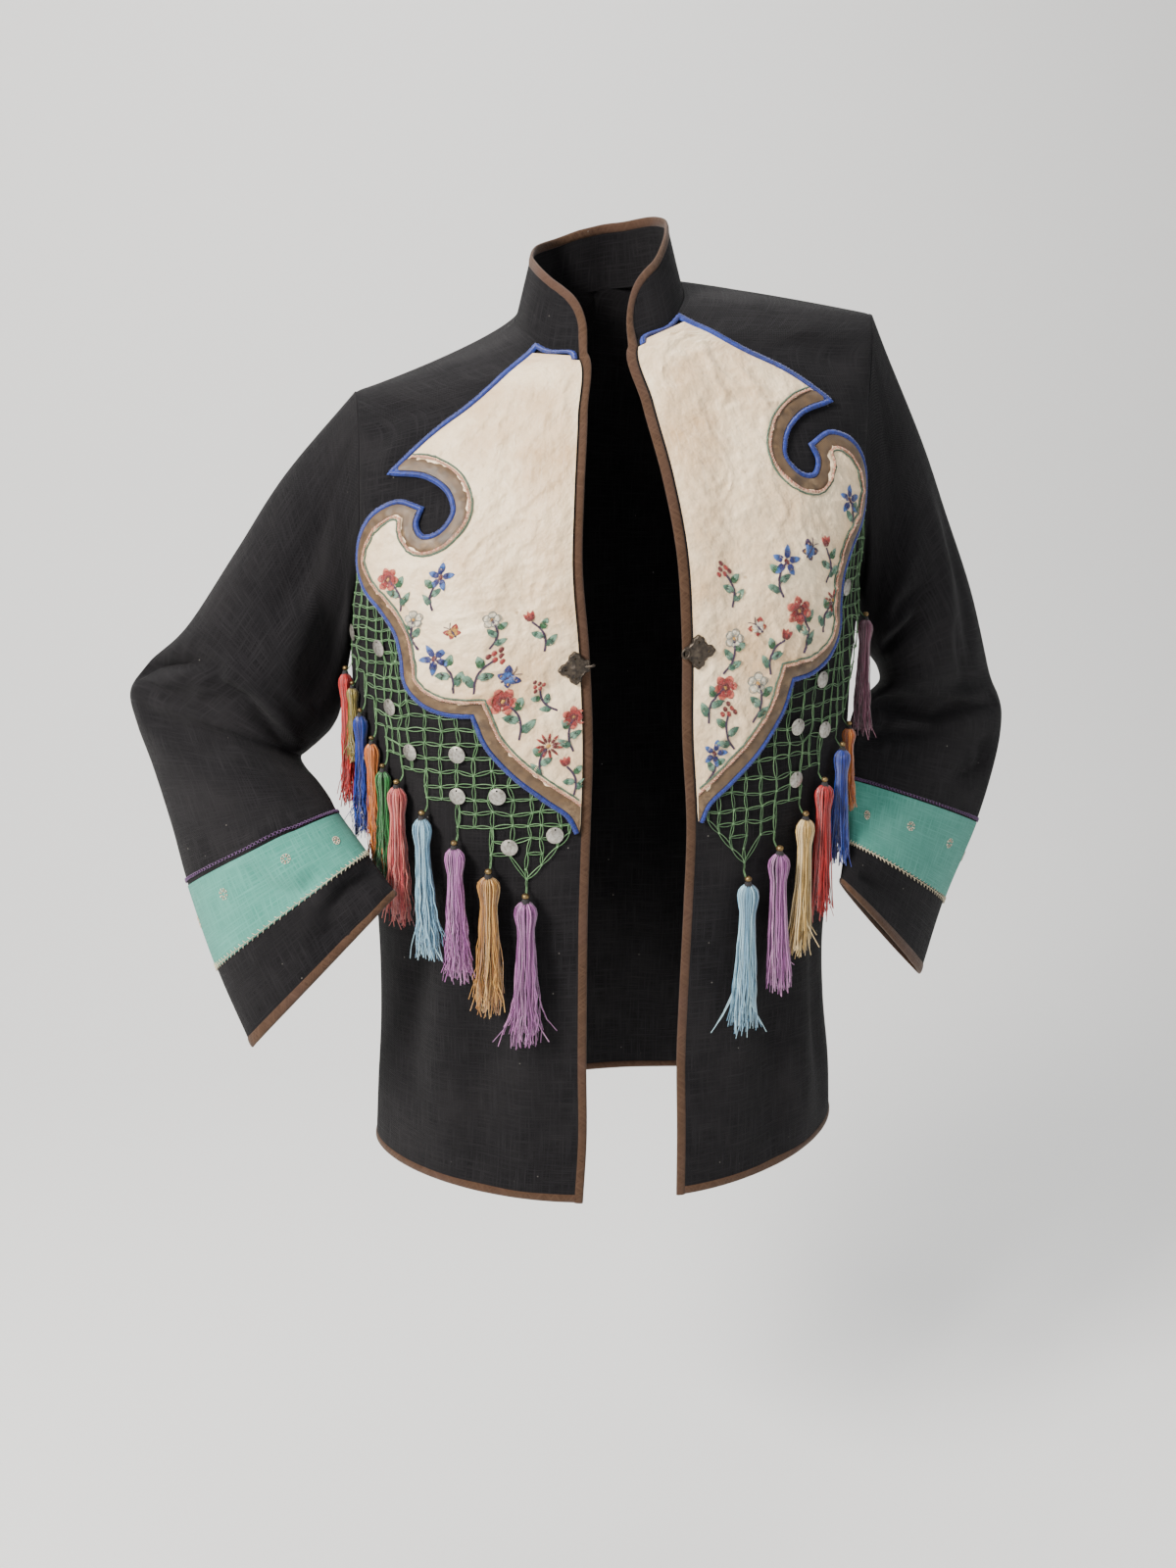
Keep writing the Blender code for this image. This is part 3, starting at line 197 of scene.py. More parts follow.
class Panel:
    """A front or half the back, read at metres of cloth: across from its edge, and up."""

    STEP, COLUMNS = 0.003, 97

    def __init__(self, part, side, creases):
        ups = np.arange(0, TOP + self.STEP / 2, self.STEP)
        self.turned = SIGN[side] * (1 if part == "front" else -1)
        lines = [level(part, side, up) for up in ups]
        self.widths = np.array([lengths[-1] for _, lengths in lines])
        shares = np.linspace(0, 1, self.COLUMNS)
        self.points = np.array([read_line(shares * lengths[-1], lengths, line) for line, lengths in lines])
        self.area = float(self.widths.mean() * TOP)
        flat = np.stack([np.outer(self.widths, shares), np.repeat(ups[:, None], self.COLUMNS, 1)], -1)
        to_side = np.where(flat[..., 1] > 0.06, self.widths[:, None] - flat[..., 0], 1.0)
        held = np.clip(np.minimum(to_side, TOP - flat[..., 1]) / 0.03, 0, 1)
        held *= np.clip((flat[..., 0] + 0.002) / 0.02, 0.15, 1) if part == "front" else 1.0
        moved = creased(flat.reshape(-1, 2), creases).reshape(held.shape) * held
        seam = -0.0007 * np.exp(-(to_side / 0.0022) ** 2)
        self.points += self.facing() * (moved + seam)[..., None]
        self.normals = self.facing()

    def facing(self):
        """Outward directions of the sheet."""
        along, upward = np.gradient(self.points, axis=1), np.gradient(self.points, axis=0)
        return unit(np.cross(along, upward)) * self.turned

    def at(self, flat, lift=0.0):
        """Points lifted off the cloth at rows of (across, up), and the outward directions."""
        flat = np.asarray(flat, float).reshape(-1, 2)
        row = np.clip(flat[:, 1] / self.STEP, 0, len(self.widths) - 1.001)
        width = np.interp(row, range(len(self.widths)), self.widths)
        column = np.clip(flat[:, 0] / width, 0, 1) * (self.COLUMNS - 1.001)
        normals = unit(read_grid(self.normals, row, column))
        return read_grid(self.points, row, column) + normals * np.reshape(lift, (-1, 1)), normals

    def grid(self, rows, columns, start):
        """A grid of flat places from start(up) to the side, with its points and directions."""
        widths = np.interp(rows, np.arange(len(self.widths)) * self.STEP, self.widths)
        flat = np.array([np.stack([np.linspace(start(up), width, columns),
                                   np.full(columns, up)], -1) for up, width in zip(rows, widths)])
        points, normals = self.at(flat)
        return points.reshape(flat.shape[:2] + (3,)), normals.reshape(flat.shape[:2] + (3,)), flat


def shown(name, data):
    """A new object, put in the scene."""
    made = bpy.data.objects.new(name, data)
    bpy.context.scene.collection.objects.link(made)
    return made


def made_mesh(name, vertices, faces, corner_flat, finish):
    """An object from vertices, faces and the flat place of each face corner."""
    faces = [list(map(int, f)) for f in faces]
    used = sorted({v for f in faces for v in f})
    place = dict(zip(used, range(len(used))))
    mesh = bpy.data.meshes.new(name)
    mesh.from_pydata(np.asarray(vertices)[used].tolist(), [], [[place[v] for v in f] for f in faces])
    mesh.uv_layers.new(name="cloth").data.foreach_set("uv", np.asarray(corner_flat, float).ravel())
    mesh.shade_smooth()
    mesh.set_sharp_from_angle(angle=math.radians(50))
    mesh.materials.append(finish)
    return shown(name, mesh)


def walled(name, points, normals, corners, flat, finish, low, high, where=None):
    """A sheet with thickness: faces over points, its two sides at low and high, and its rims."""
    count = len(points)
    where = np.arange(count) if where is None else where
    outer = [where[list(c)] for c in corners]
    ends = {(f[k - 1], f[k]): (c[k - 1], c[k]) for f, c in zip(outer, corners) for k in range(len(f))}
    rims = [(a, b, *ends[a, b]) for a, b in ends if (b, a) not in ends]
    faces = [*outer, *[f[::-1] + count for f in outer],
             *[np.array([b, a, a + count, b + count]) for a, b, _, _ in rims]]
    corner_ids = [k for c in corners for k in c] + [k for c in corners for k in tuple(c)[::-1]]
    corner_ids += [k for _, _, a, b in rims for k in (b, a, a, b)]
    vertices = np.vstack([points + normals * high, points + normals * low])
    return made_mesh(name, vertices, faces, np.asarray(flat)[corner_ids], finish)


def cloth_sheet(name, points, normals, flat, finish, low=-CLOTH, high=0.0, closed=False):
    """A sheet of cloth over a grid of points; closed joins its last column to its first."""
    rows, columns = points.shape[:2]
    i, j = (a.ravel() for a in np.meshgrid(range(rows - 1), range(columns - 1), indexing="ij"))
    first = i * columns + j
    corners = np.stack([first, first + 1, first + columns + 1, first + columns], -1)
    middle = rows // 2
    sides = points[middle, 1] - points[middle, 0], points[middle + 1, 0] - points[middle, 0]
    if np.dot(np.cross(*sides), normals[middle, 0]) < 0:
        corners = corners[:, ::-1]
    where = np.arange(rows * columns)
    if closed:
        where -= (where % columns == columns - 1) * (columns - 1)
    return walled(name, points.reshape(-1, 3), normals.reshape(-1, 3), corners,
                  flat.reshape(-1, 2), finish, low, high, where)


def add_node(tree, kind, inputs=(), **settings):
    """A node with its settings, and each input set to a value or linked from a socket."""
    made = tree.nodes.new(kind)
    for key, value in settings.items():
        setattr(made, key, value)
    for key, value in dict(inputs).items():
        if isinstance(value, bpy.types.NodeSocket):
            tree.links.new(value, made.inputs[key])
        else:
            made.inputs[key].default_value = value
    return made


def calc(tree, operation, *values):
    """The result of one sum on numbers or sockets."""
    return add_node(tree, "ShaderNodeMath", dict(enumerate(values)), operation=operation).outputs[0]


def shading_group(name, inputs, outputs):
    """An empty shading group with named inputs and outputs, and its two end nodes."""
    tree = bpy.data.node_groups.new(name, "ShaderNodeTree")
    for title, kind, value in inputs:
        made = tree.interface.new_socket(title, in_out="INPUT", socket_type="NodeSocket" + kind)
        if value is not None:
            made.default_value = value
    for title in outputs:
        tree.interface.new_socket(title, in_out="OUTPUT", socket_type="NodeSocketFloat")
    return tree, tree.nodes.new("NodeGroupInput"), tree.nodes.new("NodeGroupOutput")


def hand_weave():
    """Plain weave with thick and thin threads, read on flat metres of cloth."""
    tree, given, result = shading_group("hand_weave", (
        ("Cloth", "Vector", None), ("Threads", "Float", 1100.0), ("Slub length", "Float", 30.0)),
        ("Height", "Slubs", "Wash", "Lint"))
    cloth = given.outputs["Cloth"]
    counted = add_node(tree, "ShaderNodeVectorMath", {0: cloth, "Scale": given.outputs["Threads"]},
                       operation="SCALE").outputs[0]
    parts = add_node(tree, "ShaderNodeSeparateXYZ", {0: counted})
    turns = [calc(tree, "MULTIPLY", parts.outputs[k], math.pi) for k in (0, 1)]
    warp, weft = (calc(tree, "ABSOLUTE", calc(tree, "SINE", turn)) for turn in turns)
    over = add_node(tree, "ShaderNodeTexChecker", {"Vector": counted, "Scale": 1.0}).outputs["Fac"]
    weave = add_node(tree, "ShaderNodeMix", {"Factor": over, "A": warp, "B": weft}).outputs["Result"]
    slubs = [cloudy(tree, drawn_out(tree, cloth, shape), given.outputs["Slub length"], 3.0, 0.65)
             for shape in ((1.0, 28.0, 1.0), (24.0, 1.0, 1.0))]
    slub = calc(tree, "MAXIMUM", *(scaled(tree, grain, 0.42, 0.72) for grain in slubs))
    specks = add_node(tree, "ShaderNodeTexVoronoi", {"Vector": cloth, "Scale": 55.0}).outputs["Distance"]
    height = calc(tree, "ADD", calc(tree, "MULTIPLY", weave, 0.45), calc(tree, "MULTIPLY", slub, 0.55))
    wash = cloudy(tree, cloth, 11.0, 5.0, 0.6)
    for socket, title in ((height, "Height"), (slub, "Slubs"), (wash, "Wash"),
                          (scaled(tree, specks, 0.035, 0.02), "Lint")):
        tree.links.new(socket, result.inputs[title])
    return tree


def finish_start(name, roughness, sheen=0.0, metallic=0.0):
    """A new material, with its tree and its main shader."""
    made = bpy.data.materials.new(name)
    made.use_nodes = True
    shader = made.node_tree.nodes["Principled BSDF"]
    shader.inputs["Roughness"].default_value = roughness
    shader.inputs["Metallic"].default_value = metallic
    shader.inputs["Sheen Weight"].default_value = sheen
    shader.inputs["Sheen Roughness"].default_value = 0.5
    return made, made.node_tree, shader


def mixed(tree, factor, first, second):
    """A colour between two colours."""
    return add_node(tree, "ShaderNodeMix", {"Factor": factor, "A": first, "B": second},
                    data_type="RGBA").outputs["Result"]


def scaled(tree, value, least, most, low=0.0, high=1.0):
    """A mask drawn from one range to another."""
    return add_node(tree, "ShaderNodeMapRange", {
        "Value": value, "From Min": least, "From Max": most, "To Min": low, "To Max": high}).outputs[0]


def cloudy(tree, place, scale, detail, roughness=0.5):
    """Soft uneven patches at a place."""
    return add_node(tree, "ShaderNodeTexNoise", {
        "Vector": place, "Scale": scale, "Detail": detail, "Roughness": roughness}).outputs["Fac"]


def drawn_out(tree, place, shape):
    """A place stretched by its own amount each way."""
    return add_node(tree, "ShaderNodeVectorMath", {0: place, 1: shape}, operation="MULTIPLY").outputs[0]


def flat_place(tree):
    """The place on the flat cloth."""
    return add_node(tree, "ShaderNodeUVMap", uv_map="cloth").outputs[0]


def surfaced(tree, shader, colour, rough, height, strength, distance):
    """Give the main shader its colour, its roughness and its raised threads."""
    raised = add_node(tree, "ShaderNodeBump", {
        "Height": height, "Strength": strength, "Distance": distance}).outputs[0]
    for socket, title in ((colour, "Base Color"), (rough, "Roughness"), (raised, "Normal")):
        if socket is not None:
            tree.links.new(socket, shader.inputs[title])


WEAVE = hand_weave()


def woven(name, dark, light, washed, threads=1100.0, lint=0.5, bump=0.5, sheen=0.12):
    """Cloth of thick and thin threads: dark ground, lighter slubs and a worn, washed look."""
    made, tree, shader = finish_start(name, 0.88, sheen)
    shader.inputs["Specular IOR Level"].default_value = 0.12
    weave = add_node(tree, "ShaderNodeGroup", node_tree=WEAVE)
    tree.links.new(flat_place(tree), weave.inputs["Cloth"])
    weave.inputs["Threads"].default_value = threads
    threads_mixed = mixed(tree, weave.outputs["Slubs"], dark, light)
    wash = scaled(tree, weave.outputs["Wash"], 0.45, 0.75, 0.0, 0.7)
    colour = mixed(tree, wash, threads_mixed, washed)
    colour = mixed(tree, calc(tree, "MULTIPLY", weave.outputs["Lint"], lint), colour, (0.32, 0.3, 0.27, 1.0))
    rough = scaled(tree, weave.outputs["Slubs"], 0.0, 1.0, 0.92, 0.78)
    surfaced(tree, shader, colour, rough, weave.outputs["Height"], bump, 0.0005)
    return made


hemp = woven("dark_hemp", (0.0036, 0.0034, 0.0042, 1.0), (0.014, 0.013, 0.0148, 1.0),
             (0.019, 0.0175, 0.0188, 1.0), bump=0.8, sheen=0.025)


def declared(made, slot, *nodes):
    """Hang a piece on the root body and hide the solids it replaces; the slot is not used."""
    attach(made, "root")
    if nodes:
        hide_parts(*nodes)


def front_start(up):
    """Where a front's cloth starts: inside the binding below the neck, at the neckline above."""
    return EDGE_IN if up < NECK + 0.001 else 0.0


PANEL_ROWS = np.concatenate([np.linspace(EDGE_IN, NECK, 118), np.linspace(NECK + 0.002, TOP, 18)])
fronts = {side: Panel("front", side, FRONT_CREASES[side]) for side in SIGN}
for side, panel in fronts.items():
    front = cloth_sheet("front_cloth_" + side, *panel.grid(PANEL_ROWS, 60, front_start), hemp)
    declared(front, "cloth", "front_panel_" + side)

# ---- The back ---------------------------------------------------------------------
# The back is one width of the same doubled hemp. It is seamed to the fronts at the
# shoulders and sides, and hangs in a few soft folds from the shoulder blades.
BACK_CREASES = {
    "right": (
        (22, -6, (60, 0), (58, 160), (45, 330)),
        (20, 5, (105, 0), (100, 150), (85, 320)),
        (18, -5, (150, 20), (145, 140), (130, 260)),
        (14, -3.5, (195, 440), (160, 480), (120, 500)),
        (14, 3, (190, 410), (150, 430), (105, 440)),
        (16, 3, (165, 560), (130, 600), (90, 620)),
        (24, -3, (30, 360), (45, 450), (65, 550))),
    "left": (
        (20, -5.5, (70, 0), (66, 140), (50, 300)),
        (22, 5, (120, 0), (116, 180), (100, 340)),
        (16, -4.5, (160, 30), (152, 130), (140, 240)),
        (15, -3.5, (190, 460), (150, 490), (105, 500)),
        (14, 3, (195, 420), (155, 450), (110, 450)),
        (15, 2.8, (170, 570), (130, 600), (85, 630))),
}
HALF = 60                 # points across each half of the back
backs = {side: Panel("back", side, BACK_CREASES[side]) for side in SIGN}
halves = [panel.grid(PANEL_ROWS, HALF, lambda up: 0.0) for panel in backs.values()]
points, normals, flat = (np.concatenate([halves[0][k][:, ::-1], halves[1][k]], axis=1) for k in range(3))
flat[:, :HALF, 0] *= -1
middle = [HALF - 1, HALF]
normals[:, middle] = unit(normals[:, middle].sum(axis=1, keepdims=True))
wide = 2 * HALF
where = np.arange(len(PANEL_ROWS) * wide)
back_corners = [(k, k + wide, k + wide + 1, k + 1)
                for k in where[:-wide] if k % wide not in (HALF - 1, wide - 1)]
below_neck = (PANEL_ROWS < NECK + 0.001)[where // wide]
where = where - ((where % wide == HALF) & below_neck)
back = walled("back_cloth", points.reshape(-1, 3), normals.reshape(-1, 3), back_corners,
              flat.reshape(-1, 2), hemp, -CLOTH, 0.0, where)
declared(back, "cloth", "back_panel")

# ---- The sleeves --------------------------------------------------------------------
# Each sleeve is a wide tube of hemp set straight into the armhole. It creases deeply
# round the bent elbow, and a teal cotton band is let in above its cuff end.
ARM_LEVELS = np.concatenate([np.linspace(ARMPIT, NECK, 7), np.linspace(NECK + 0.0094, TOP, 4)])
AROUND = 128              # points round a sleeve
GIRTH = 0.4              # metres of cloth round it, taken for all its creases
SLEEVE_ROWS = {
    "right": (
        (-231, 12, -117, -197, 20, -286, 450),
        (-269, 22, -172, -204, 23, -304, 420),
        (-309, 35, -229, -214, 24, -315, 400),
        (-340, 44, -256, -224, 20, -322, 390),
        (-354, 47, -276, -229, 12, -325, 390),
        (-350, 42, -302, -226, 0, -330, 390),
        (-339, 28, -333, -217, -14, -338, 385),
        (-326, 5, -373, -209, -32, -346, 380),
        (-314, -25, -411, -203, -53, -353, 375),
        (-295, -55, -465, -184, -83, -375, 372),
        (-272, -80, -518, -165, -107, -398, 370),
    ),
    "left": (
        (248, 18, -93, 212, 22, -252, 440),
        (277, 30, -152, 218, 26, -262, 420),
        (308, 45, -215, 225, 26, -272, 400),
        (332, 54, -280, 226, 21, -283, 390),
        (344, 55, -306, 214, 12, -291, 390),
        (345, 50, -329, 199, -2, -299, 390),
        (336, 38, -359, 187, -22, -316, 385),
        (313, 15, -404, 177, -48, -345, 380),
        (277, -15, -457, 171, -72, -386, 372),
        (248, -45, -509, 160, -97, -411, 370),
    ),
}
SLEEVE_FACING = {"right": ((0.02, -1.0, 0.07), (0.015, -0.92, 0.4)),
                 "left": ((-0.37, -0.93, 0.04), (-0.33, -0.86, 0.42))}
# The largest folds: section, turn round, their reach in each, and the cloth's move.
FOLDS = {
    "right": ((4.4, 0.38, 0.6, 0.11, 0.004, 0.012, -0.004),
              (5.8, 0.26, 0.6, 0.1, 0.0, 0.011, 0.003),
              (4.2, 0.12, 0.8, 0.1, 0.0, -0.009, 0.0)),
    "left": ((4.6, 0.37, 0.6, 0.11, -0.004, 0.012, -0.002),
             (5.8, 0.24, 0.6, 0.1, 0.0, 0.01, 0.003)),
}
# Creases: half width, move outwards, then the line as (section, turn from the armpit forwards).
SLEEVE_CREASES = {
    "right": (
        (7.5, -11.5, (4.2, 0.49), (3.8, 0.43), (3.4, 0.38), (3.0, 0.31)),
        (8.5, 6, (4.9, 0.46), (4.3, 0.38), (3.7, 0.34)),
        (7, -4, (3.1, 0.41), (2.8, 0.35), (2.5, 0.27)),
        (6.5, -10, (3.1, 0.33), (3.5, 0.3), (3.4, 0.24), (3.7, 0.16), (4.2, 0.08)),
        (8, 5, (3.0, 0.27), (3.0, 0.2), (3.4, 0.12), (3.8, 0.05)),
        (7, -7, (4.1, 0.3), (3.6, 0.23)),
        (8.5, -5, (5.6, 0.42), (5.9, 0.3)),
        (9, -4.5, (6.7, 0.32), (6.0, 0.22)),
        (12, -4.5, (0.6, 0.28), (1.2, 0.3), (2.0, 0.3)),
        (16, -8, (0.4, 0.14), (1.1, 0.18), (2.4, 0.16)),
        (14, 5, (0.9, 0.24), (1.8, 0.24), (2.6, 0.21)),
        (12, 2.5, (2.6, 0.45), (1.9, 0.37)),
        (8, -6.5, (9.1, 0.29), (9.6, 0.27), (9.9, 0.23), (9.8, 0.17)),
        (8, 3.5, (8.7, 0.27), (8.9, 0.18)),
        (8.5, -8.5, (10.45, 0.22), (10.3, 0.15), (10.4, 0.04)),
        (6, -5, (10.45, 0.25), (10.8, 0.18)),
        (9, 4, (10.9, 0.16), (10.8, 0.06)),
        (9, -10, (4.3, 0.55), (3.6, 0.66), (3.3, 0.77)),
        (9, 5.5, (4.8, 0.58), (4.3, 0.69), (3.9, 0.8)),
        (8.5, -7, (5.3, 0.57), (5.0, 0.68), (4.6, 0.79)),
        (14, -5, (1.9, 0.61), (2.7, 0.73)),
        (13, -5, (0.9, 0.78), (1.9, 0.86)),
        (12, -4.5, (6.8, 0.61), (7.3, 0.75)),
        (10, -4, (9.3, 0.73), (9.9, 0.61))),
    "left": (
        (8, -7, (2.1, 0.19), (2.5, 0.31)),
        (8, -9, (2.5, 0.11), (2.7, 0.2), (2.8, 0.27)),
        (9, 4, (2.2, 0.14), (2.55, 0.24)),
        (10, 4, (1.4, 0.41), (2.4, 0.37), (3.9, 0.28)),
        (10, -4.5, (1.8, 0.46), (3.0, 0.41), (4.2, 0.35)),
        (6, -3, (3.2, 0.33), (4.6, 0.35)),
        (7.5, -11.5, (5.6, 0.1), (6.1, 0.2), (6.2, 0.27), (5.8, 0.33), (5.2, 0.45)),
        (8, 6, (6.5, 0.17), (6.45, 0.26), (6.2, 0.35)),
        (6.5, -8.5, (7.2, 0.09), (6.8, 0.17), (6.6, 0.25), (6.3, 0.33)),
        (9, -5, (6.5, 0.38), (7.1, 0.41), (7.7, 0.31)),
        (7, -5.5, (9.5, 0.14), (9.4, 0.27)),
        (12, -6, (0.5, 0.17), (0.35, 0.08), (0.4, 0.01)),
        (9, -10, (5.9, 0.54), (5.6, 0.64), (5.9, 0.77)),
        (8, 4.5, (6.3, 0.57), (6.1, 0.71)),
        (9, -6.5, (6.8, 0.55), (6.5, 0.69)),
        (13, -6, (2.2, 0.6), (2.7, 0.73)),
        (12, -5, (3.6, 0.57), (3.9, 0.75)),
        (10, -4, (8.5, 0.71), (8.9, 0.6))),
}
BAND_FROM = {"right": 9.0, "left": 8.0}
BAND_TO = {"right": 10.0, "left": 9.0}
CUFF_END = {"right": 11.0, "left": 10.0}


class Sleeve:
    """A sleeve read in sections down the arm and turns round it, from the armpit forwards."""

    def __init__(self, side):
        self.side = side
        turn = np.linspace(math.pi, -math.pi, AROUND, endpoint=False)
        ups = np.interp(np.linspace(0, 10, AROUND // 2 + 1), range(11), ARM_LEVELS)
        front = [level("front", side, up)[0][-1] for up in ups]
        back = [level("back", side, up)[0][-1] for up in ups[::-1]]
        rings = [np.array(front + back[1:-1])]
        rows = np.array(SLEEVE_ROWS[side]) * MM
        facings = np.linspace(*np.array(SLEEVE_FACING[side]), len(rows))
        for row, facing in zip(rows, facings):
            top, under, girth = row[0:3], row[3:6], row[6]
            half = (top - under) / 2
            depth = math.sqrt(2 * (girth / (2 * math.pi)) ** 2 - half @ half)
            rings.append((top + under) / 2 + np.outer(np.cos(turn), half)
                         + np.outer(np.sin(turn), unit(facing) * depth))
        self.rings = np.array(rings)
        steps = np.linalg.norm(np.diff(self.rings, axis=0), axis=-1).mean(axis=1)
        self.lengths = np.concatenate([[0], np.cumsum(steps)])

    def length(self, section):
        """Metres of cloth down the sleeve at a section."""
        return np.interp(section, range(len(self.lengths)), self.lengths)

    def ring(self, section):
        """The sleeve's line round one section, with its largest folds."""
        ring = smooth(np.arange(len(self.rings)), self.rings, section)
        around = np.arange(AROUND) / AROUND
        for fold in FOLDS[self.side]:
            near = (section - fold[0]) / fold[2]
            turned = ((around - fold[1] + 0.5) % 1.0 - 0.5) / fold[3]
            strength = np.exp(-near * near - turned * turned) * min(1.0, section / 0.5)
            ring = ring + np.outer(strength, fold[4:])
        return ring

    def grid(self, sections, lift=0.0):
        """Points, outward directions and flat places of the sleeve at sections down the arm."""
        smooth_rings = np.array([self.ring(at) for at in sections])
        points = np.concatenate([smooth_rings, smooth_rings[:, :1]], axis=1)
        around = np.linspace(0, 1, AROUND + 1)
        down = self.length(np.asarray(sections))
        flat = np.stack([np.tile(around * GIRTH, (len(sections), 1)),
                         np.repeat(down[:, None], AROUND + 1, 1)], -1)
        normals = self.facing(points)
        moved = np.zeros(flat.shape[:2])
        for reach, depth, *line in SLEEVE_CREASES[self.side]:
            line = [(turned * GIRTH / MM, self.length(section) / MM) for section, turned in line]
            for shift in (-GIRTH, 0.0, GIRTH):
                shifted = flat.reshape(-1, 2) + (shift, 0.0)
                moved += creased(shifted, [(reach, depth, *line)]).reshape(moved.shape)
        held = np.clip(np.asarray(sections) / 0.5, 0, 1)[:, None]
        points = points + normals * (moved * held + lift)[..., None]
        return points, self.facing(points), flat

    def facing(self, points):
        """Outward directions of the tube."""
        along = np.gradient(points, axis=0)
        ringed = points[:, :-1]
        around = np.roll(ringed, -1, axis=1) - np.roll(ringed, 1, axis=1)
        around = np.concatenate([around, around[:, :1]], axis=1)
        return unit(np.cross(along, around)) * SIGN[self.side]


ARMHOLE_TURNING = 0.007   # cloth of the sleeve that lies inside the armhole seam
sleeves = {side: Sleeve(side) for side in SIGN}
for side, sleeve in sleeves.items():
    sections = np.linspace(0.0, BAND_FROM[side] + 0.06, 100)
    points, normals, flat = sleeve.grid(sections)
    turned_in = points[:1] - normals[:1] * CLOTH - np.array([SIGN[side] * ARMHOLE_TURNING, 0.0, 0.0])
    points, normals = np.concatenate([turned_in, points]), np.concatenate([normals[:1], normals])
    flat = np.concatenate([flat[:1] - (0.0, ARMHOLE_TURNING), flat])
    upper = cloth_sheet("sleeve_cloth_" + side, points, normals, flat, hemp, closed=True)
    declared(upper, "cloth", "sleeve_upper_" + side)
    drop = float(sleeve.length(BAND_FROM[side]))
    sections = np.linspace(BAND_TO[side] - 0.06, CUFF_END[side] - 0.04, 16)
    cuff = cloth_sheet("sleeve_end_" + side, *sleeve.grid(sections), hemp, closed=True)
    declared(cuff, "cloth", "sleeve_cuff_" + side)
    drop = float(sleeve.length(CUFF_END[side]) - sleeve.length(BAND_TO[side]))

# ---- The teal bands -----------------------------------------------------------------
# A band of loosely woven teal cotton goes round each sleeve above its cuff end, laid a
# little proud of the hemp. It has faded unevenly along its folds.
teal = woven("teal_cotton", (0.04, 0.2, 0.155, 1.0), (0.1, 0.33, 0.27, 1.0),
             (0.12, 0.35, 0.29, 1.0), threads=900.0, lint=0.8, sheen=0.1)
BAND_LIFT = 0.0007
for side, sleeve in sleeves.items():
    sections = np.linspace(BAND_FROM[side], BAND_TO[side], 18)
    band = cloth_sheet("teal_band_" + side, *sleeve.grid(sections, BAND_LIFT), teal, closed=True)
    declared(band, "band", "sleeve_band_" + side)
    drop = float(sleeve.length(BAND_TO[side]) - sleeve.length(BAND_FROM[side]))

# ---- The stand collar ---------------------------------------------------------------
# The collar is a straight band of doubled hemp sewn round the neckline. Its two front
# corners are rounded off, and it leans in a little towards the neck.
BINDING = 0.007           # width of every bias binding
COLLAR_HEIGHT, COLLAR_CORNER, COLLAR_END = 0.045, 0.034, 0.01
COLLAR_LEAN, COLLAR_FRONT_LEAN, NECK_DEPTH = 0.26, 0.1, 0.075


def neckline():
    """The neckline from the right front edge round the back to the left, at close points."""
    halves = []
    for side in SIGN:
        ups = np.linspace(NECK, TOP, 40)
        front = fronts[side].at([(0.0, up) for up in ups])[0]
        back = np.array([level("back", side, up)[0][0] for up in ups[::-1]])
        halves.append(np.vstack([front, back[1:]]))
    return np.vstack([halves[0], halves[1][-2::-1]])


class Collar:
    """The stand collar, read at metres along the neckline and up the band."""

    def __init__(self):
        base = neckline()
        lengths = run_lengths(base)
        self.length = lengths[-1]
        self.places = np.linspace(0, self.length, 73)
        self.base = read_line(self.places, lengths, base)
        rounded = self.base.copy()
        for _ in range(3):
            rounded[1:-1] = (rounded[:-2] + 2 * rounded[1:-1] + rounded[2:]) / 4
        self.base = rounded
        self.middle = self.base.mean(axis=0)

    def edge(self, along, inset=0.0):
        """Height of the collar's top edge, less an inset."""
        near = np.minimum(along, self.length - along) - inset
        corner = COLLAR_CORNER - inset
        bend = np.sqrt(np.clip(1 - np.clip(1 - near / corner, 0, 1) ** 2, 0, 1))
        return COLLAR_END + (COLLAR_HEIGHT - inset - COLLAR_END) * bend

    def point(self, along, height):
        """A place on the collar's outer face."""
        foot = read_line(along, self.places, self.base)
        inward = (self.middle - foot) * np.array([1.0, 1.0, 0.0])
        frontness = np.clip(-foot[..., 1:2] / NECK_DEPTH, 0, 1)
        upward = unit(unit(inward) * (COLLAR_LEAN + COLLAR_FRONT_LEAN * frontness) + (0.0, 0.0, 1.0))
        ripple = 0.0006 * np.sin(along * 95.0 + 2.0 * np.sin(along * 31.0))
        return foot + upward * np.asarray(height)[..., None] - unit(inward) * ripple[..., None]

    def normal(self, along, height, reach=0.004):
        """Outward direction of the collar."""
        before, after = np.maximum(along - reach, 0), np.minimum(along + reach, self.length)
        forward = self.point(after, height) - self.point(before, height)
        upward = self.point(along, height + reach) - self.point(along, height)
        return unit(np.cross(upward, forward))


collar_form = Collar()
near = COLLAR_CORNER * (1 - np.cos(np.linspace(0, math.pi / 2, 14)))
stations = np.concatenate([near, np.linspace(COLLAR_CORNER, collar_form.length - COLLAR_CORNER, 90)[1:-1],
                           collar_form.length - near[::-1]])


def inset_stations(inset):
    """The same places along the collar, drawn in from its two ends."""
    middle = collar_form.length / 2
    return middle + (stations - middle) * (1 - inset / middle)


along = inset_stations(EDGE_IN)
top = collar_form.edge(along, EDGE_IN)
heights = np.linspace(-0.04, 1.0, 12)
readings = collar_form.point, collar_form.normal, lambda across, height: np.stack([across, height], -1)
collar = cloth_sheet("collar_cloth", *(
    np.array([read(along, top * share) for share in heights]) for read in readings), hemp)
declared(collar, "cloth", "stand_collar")

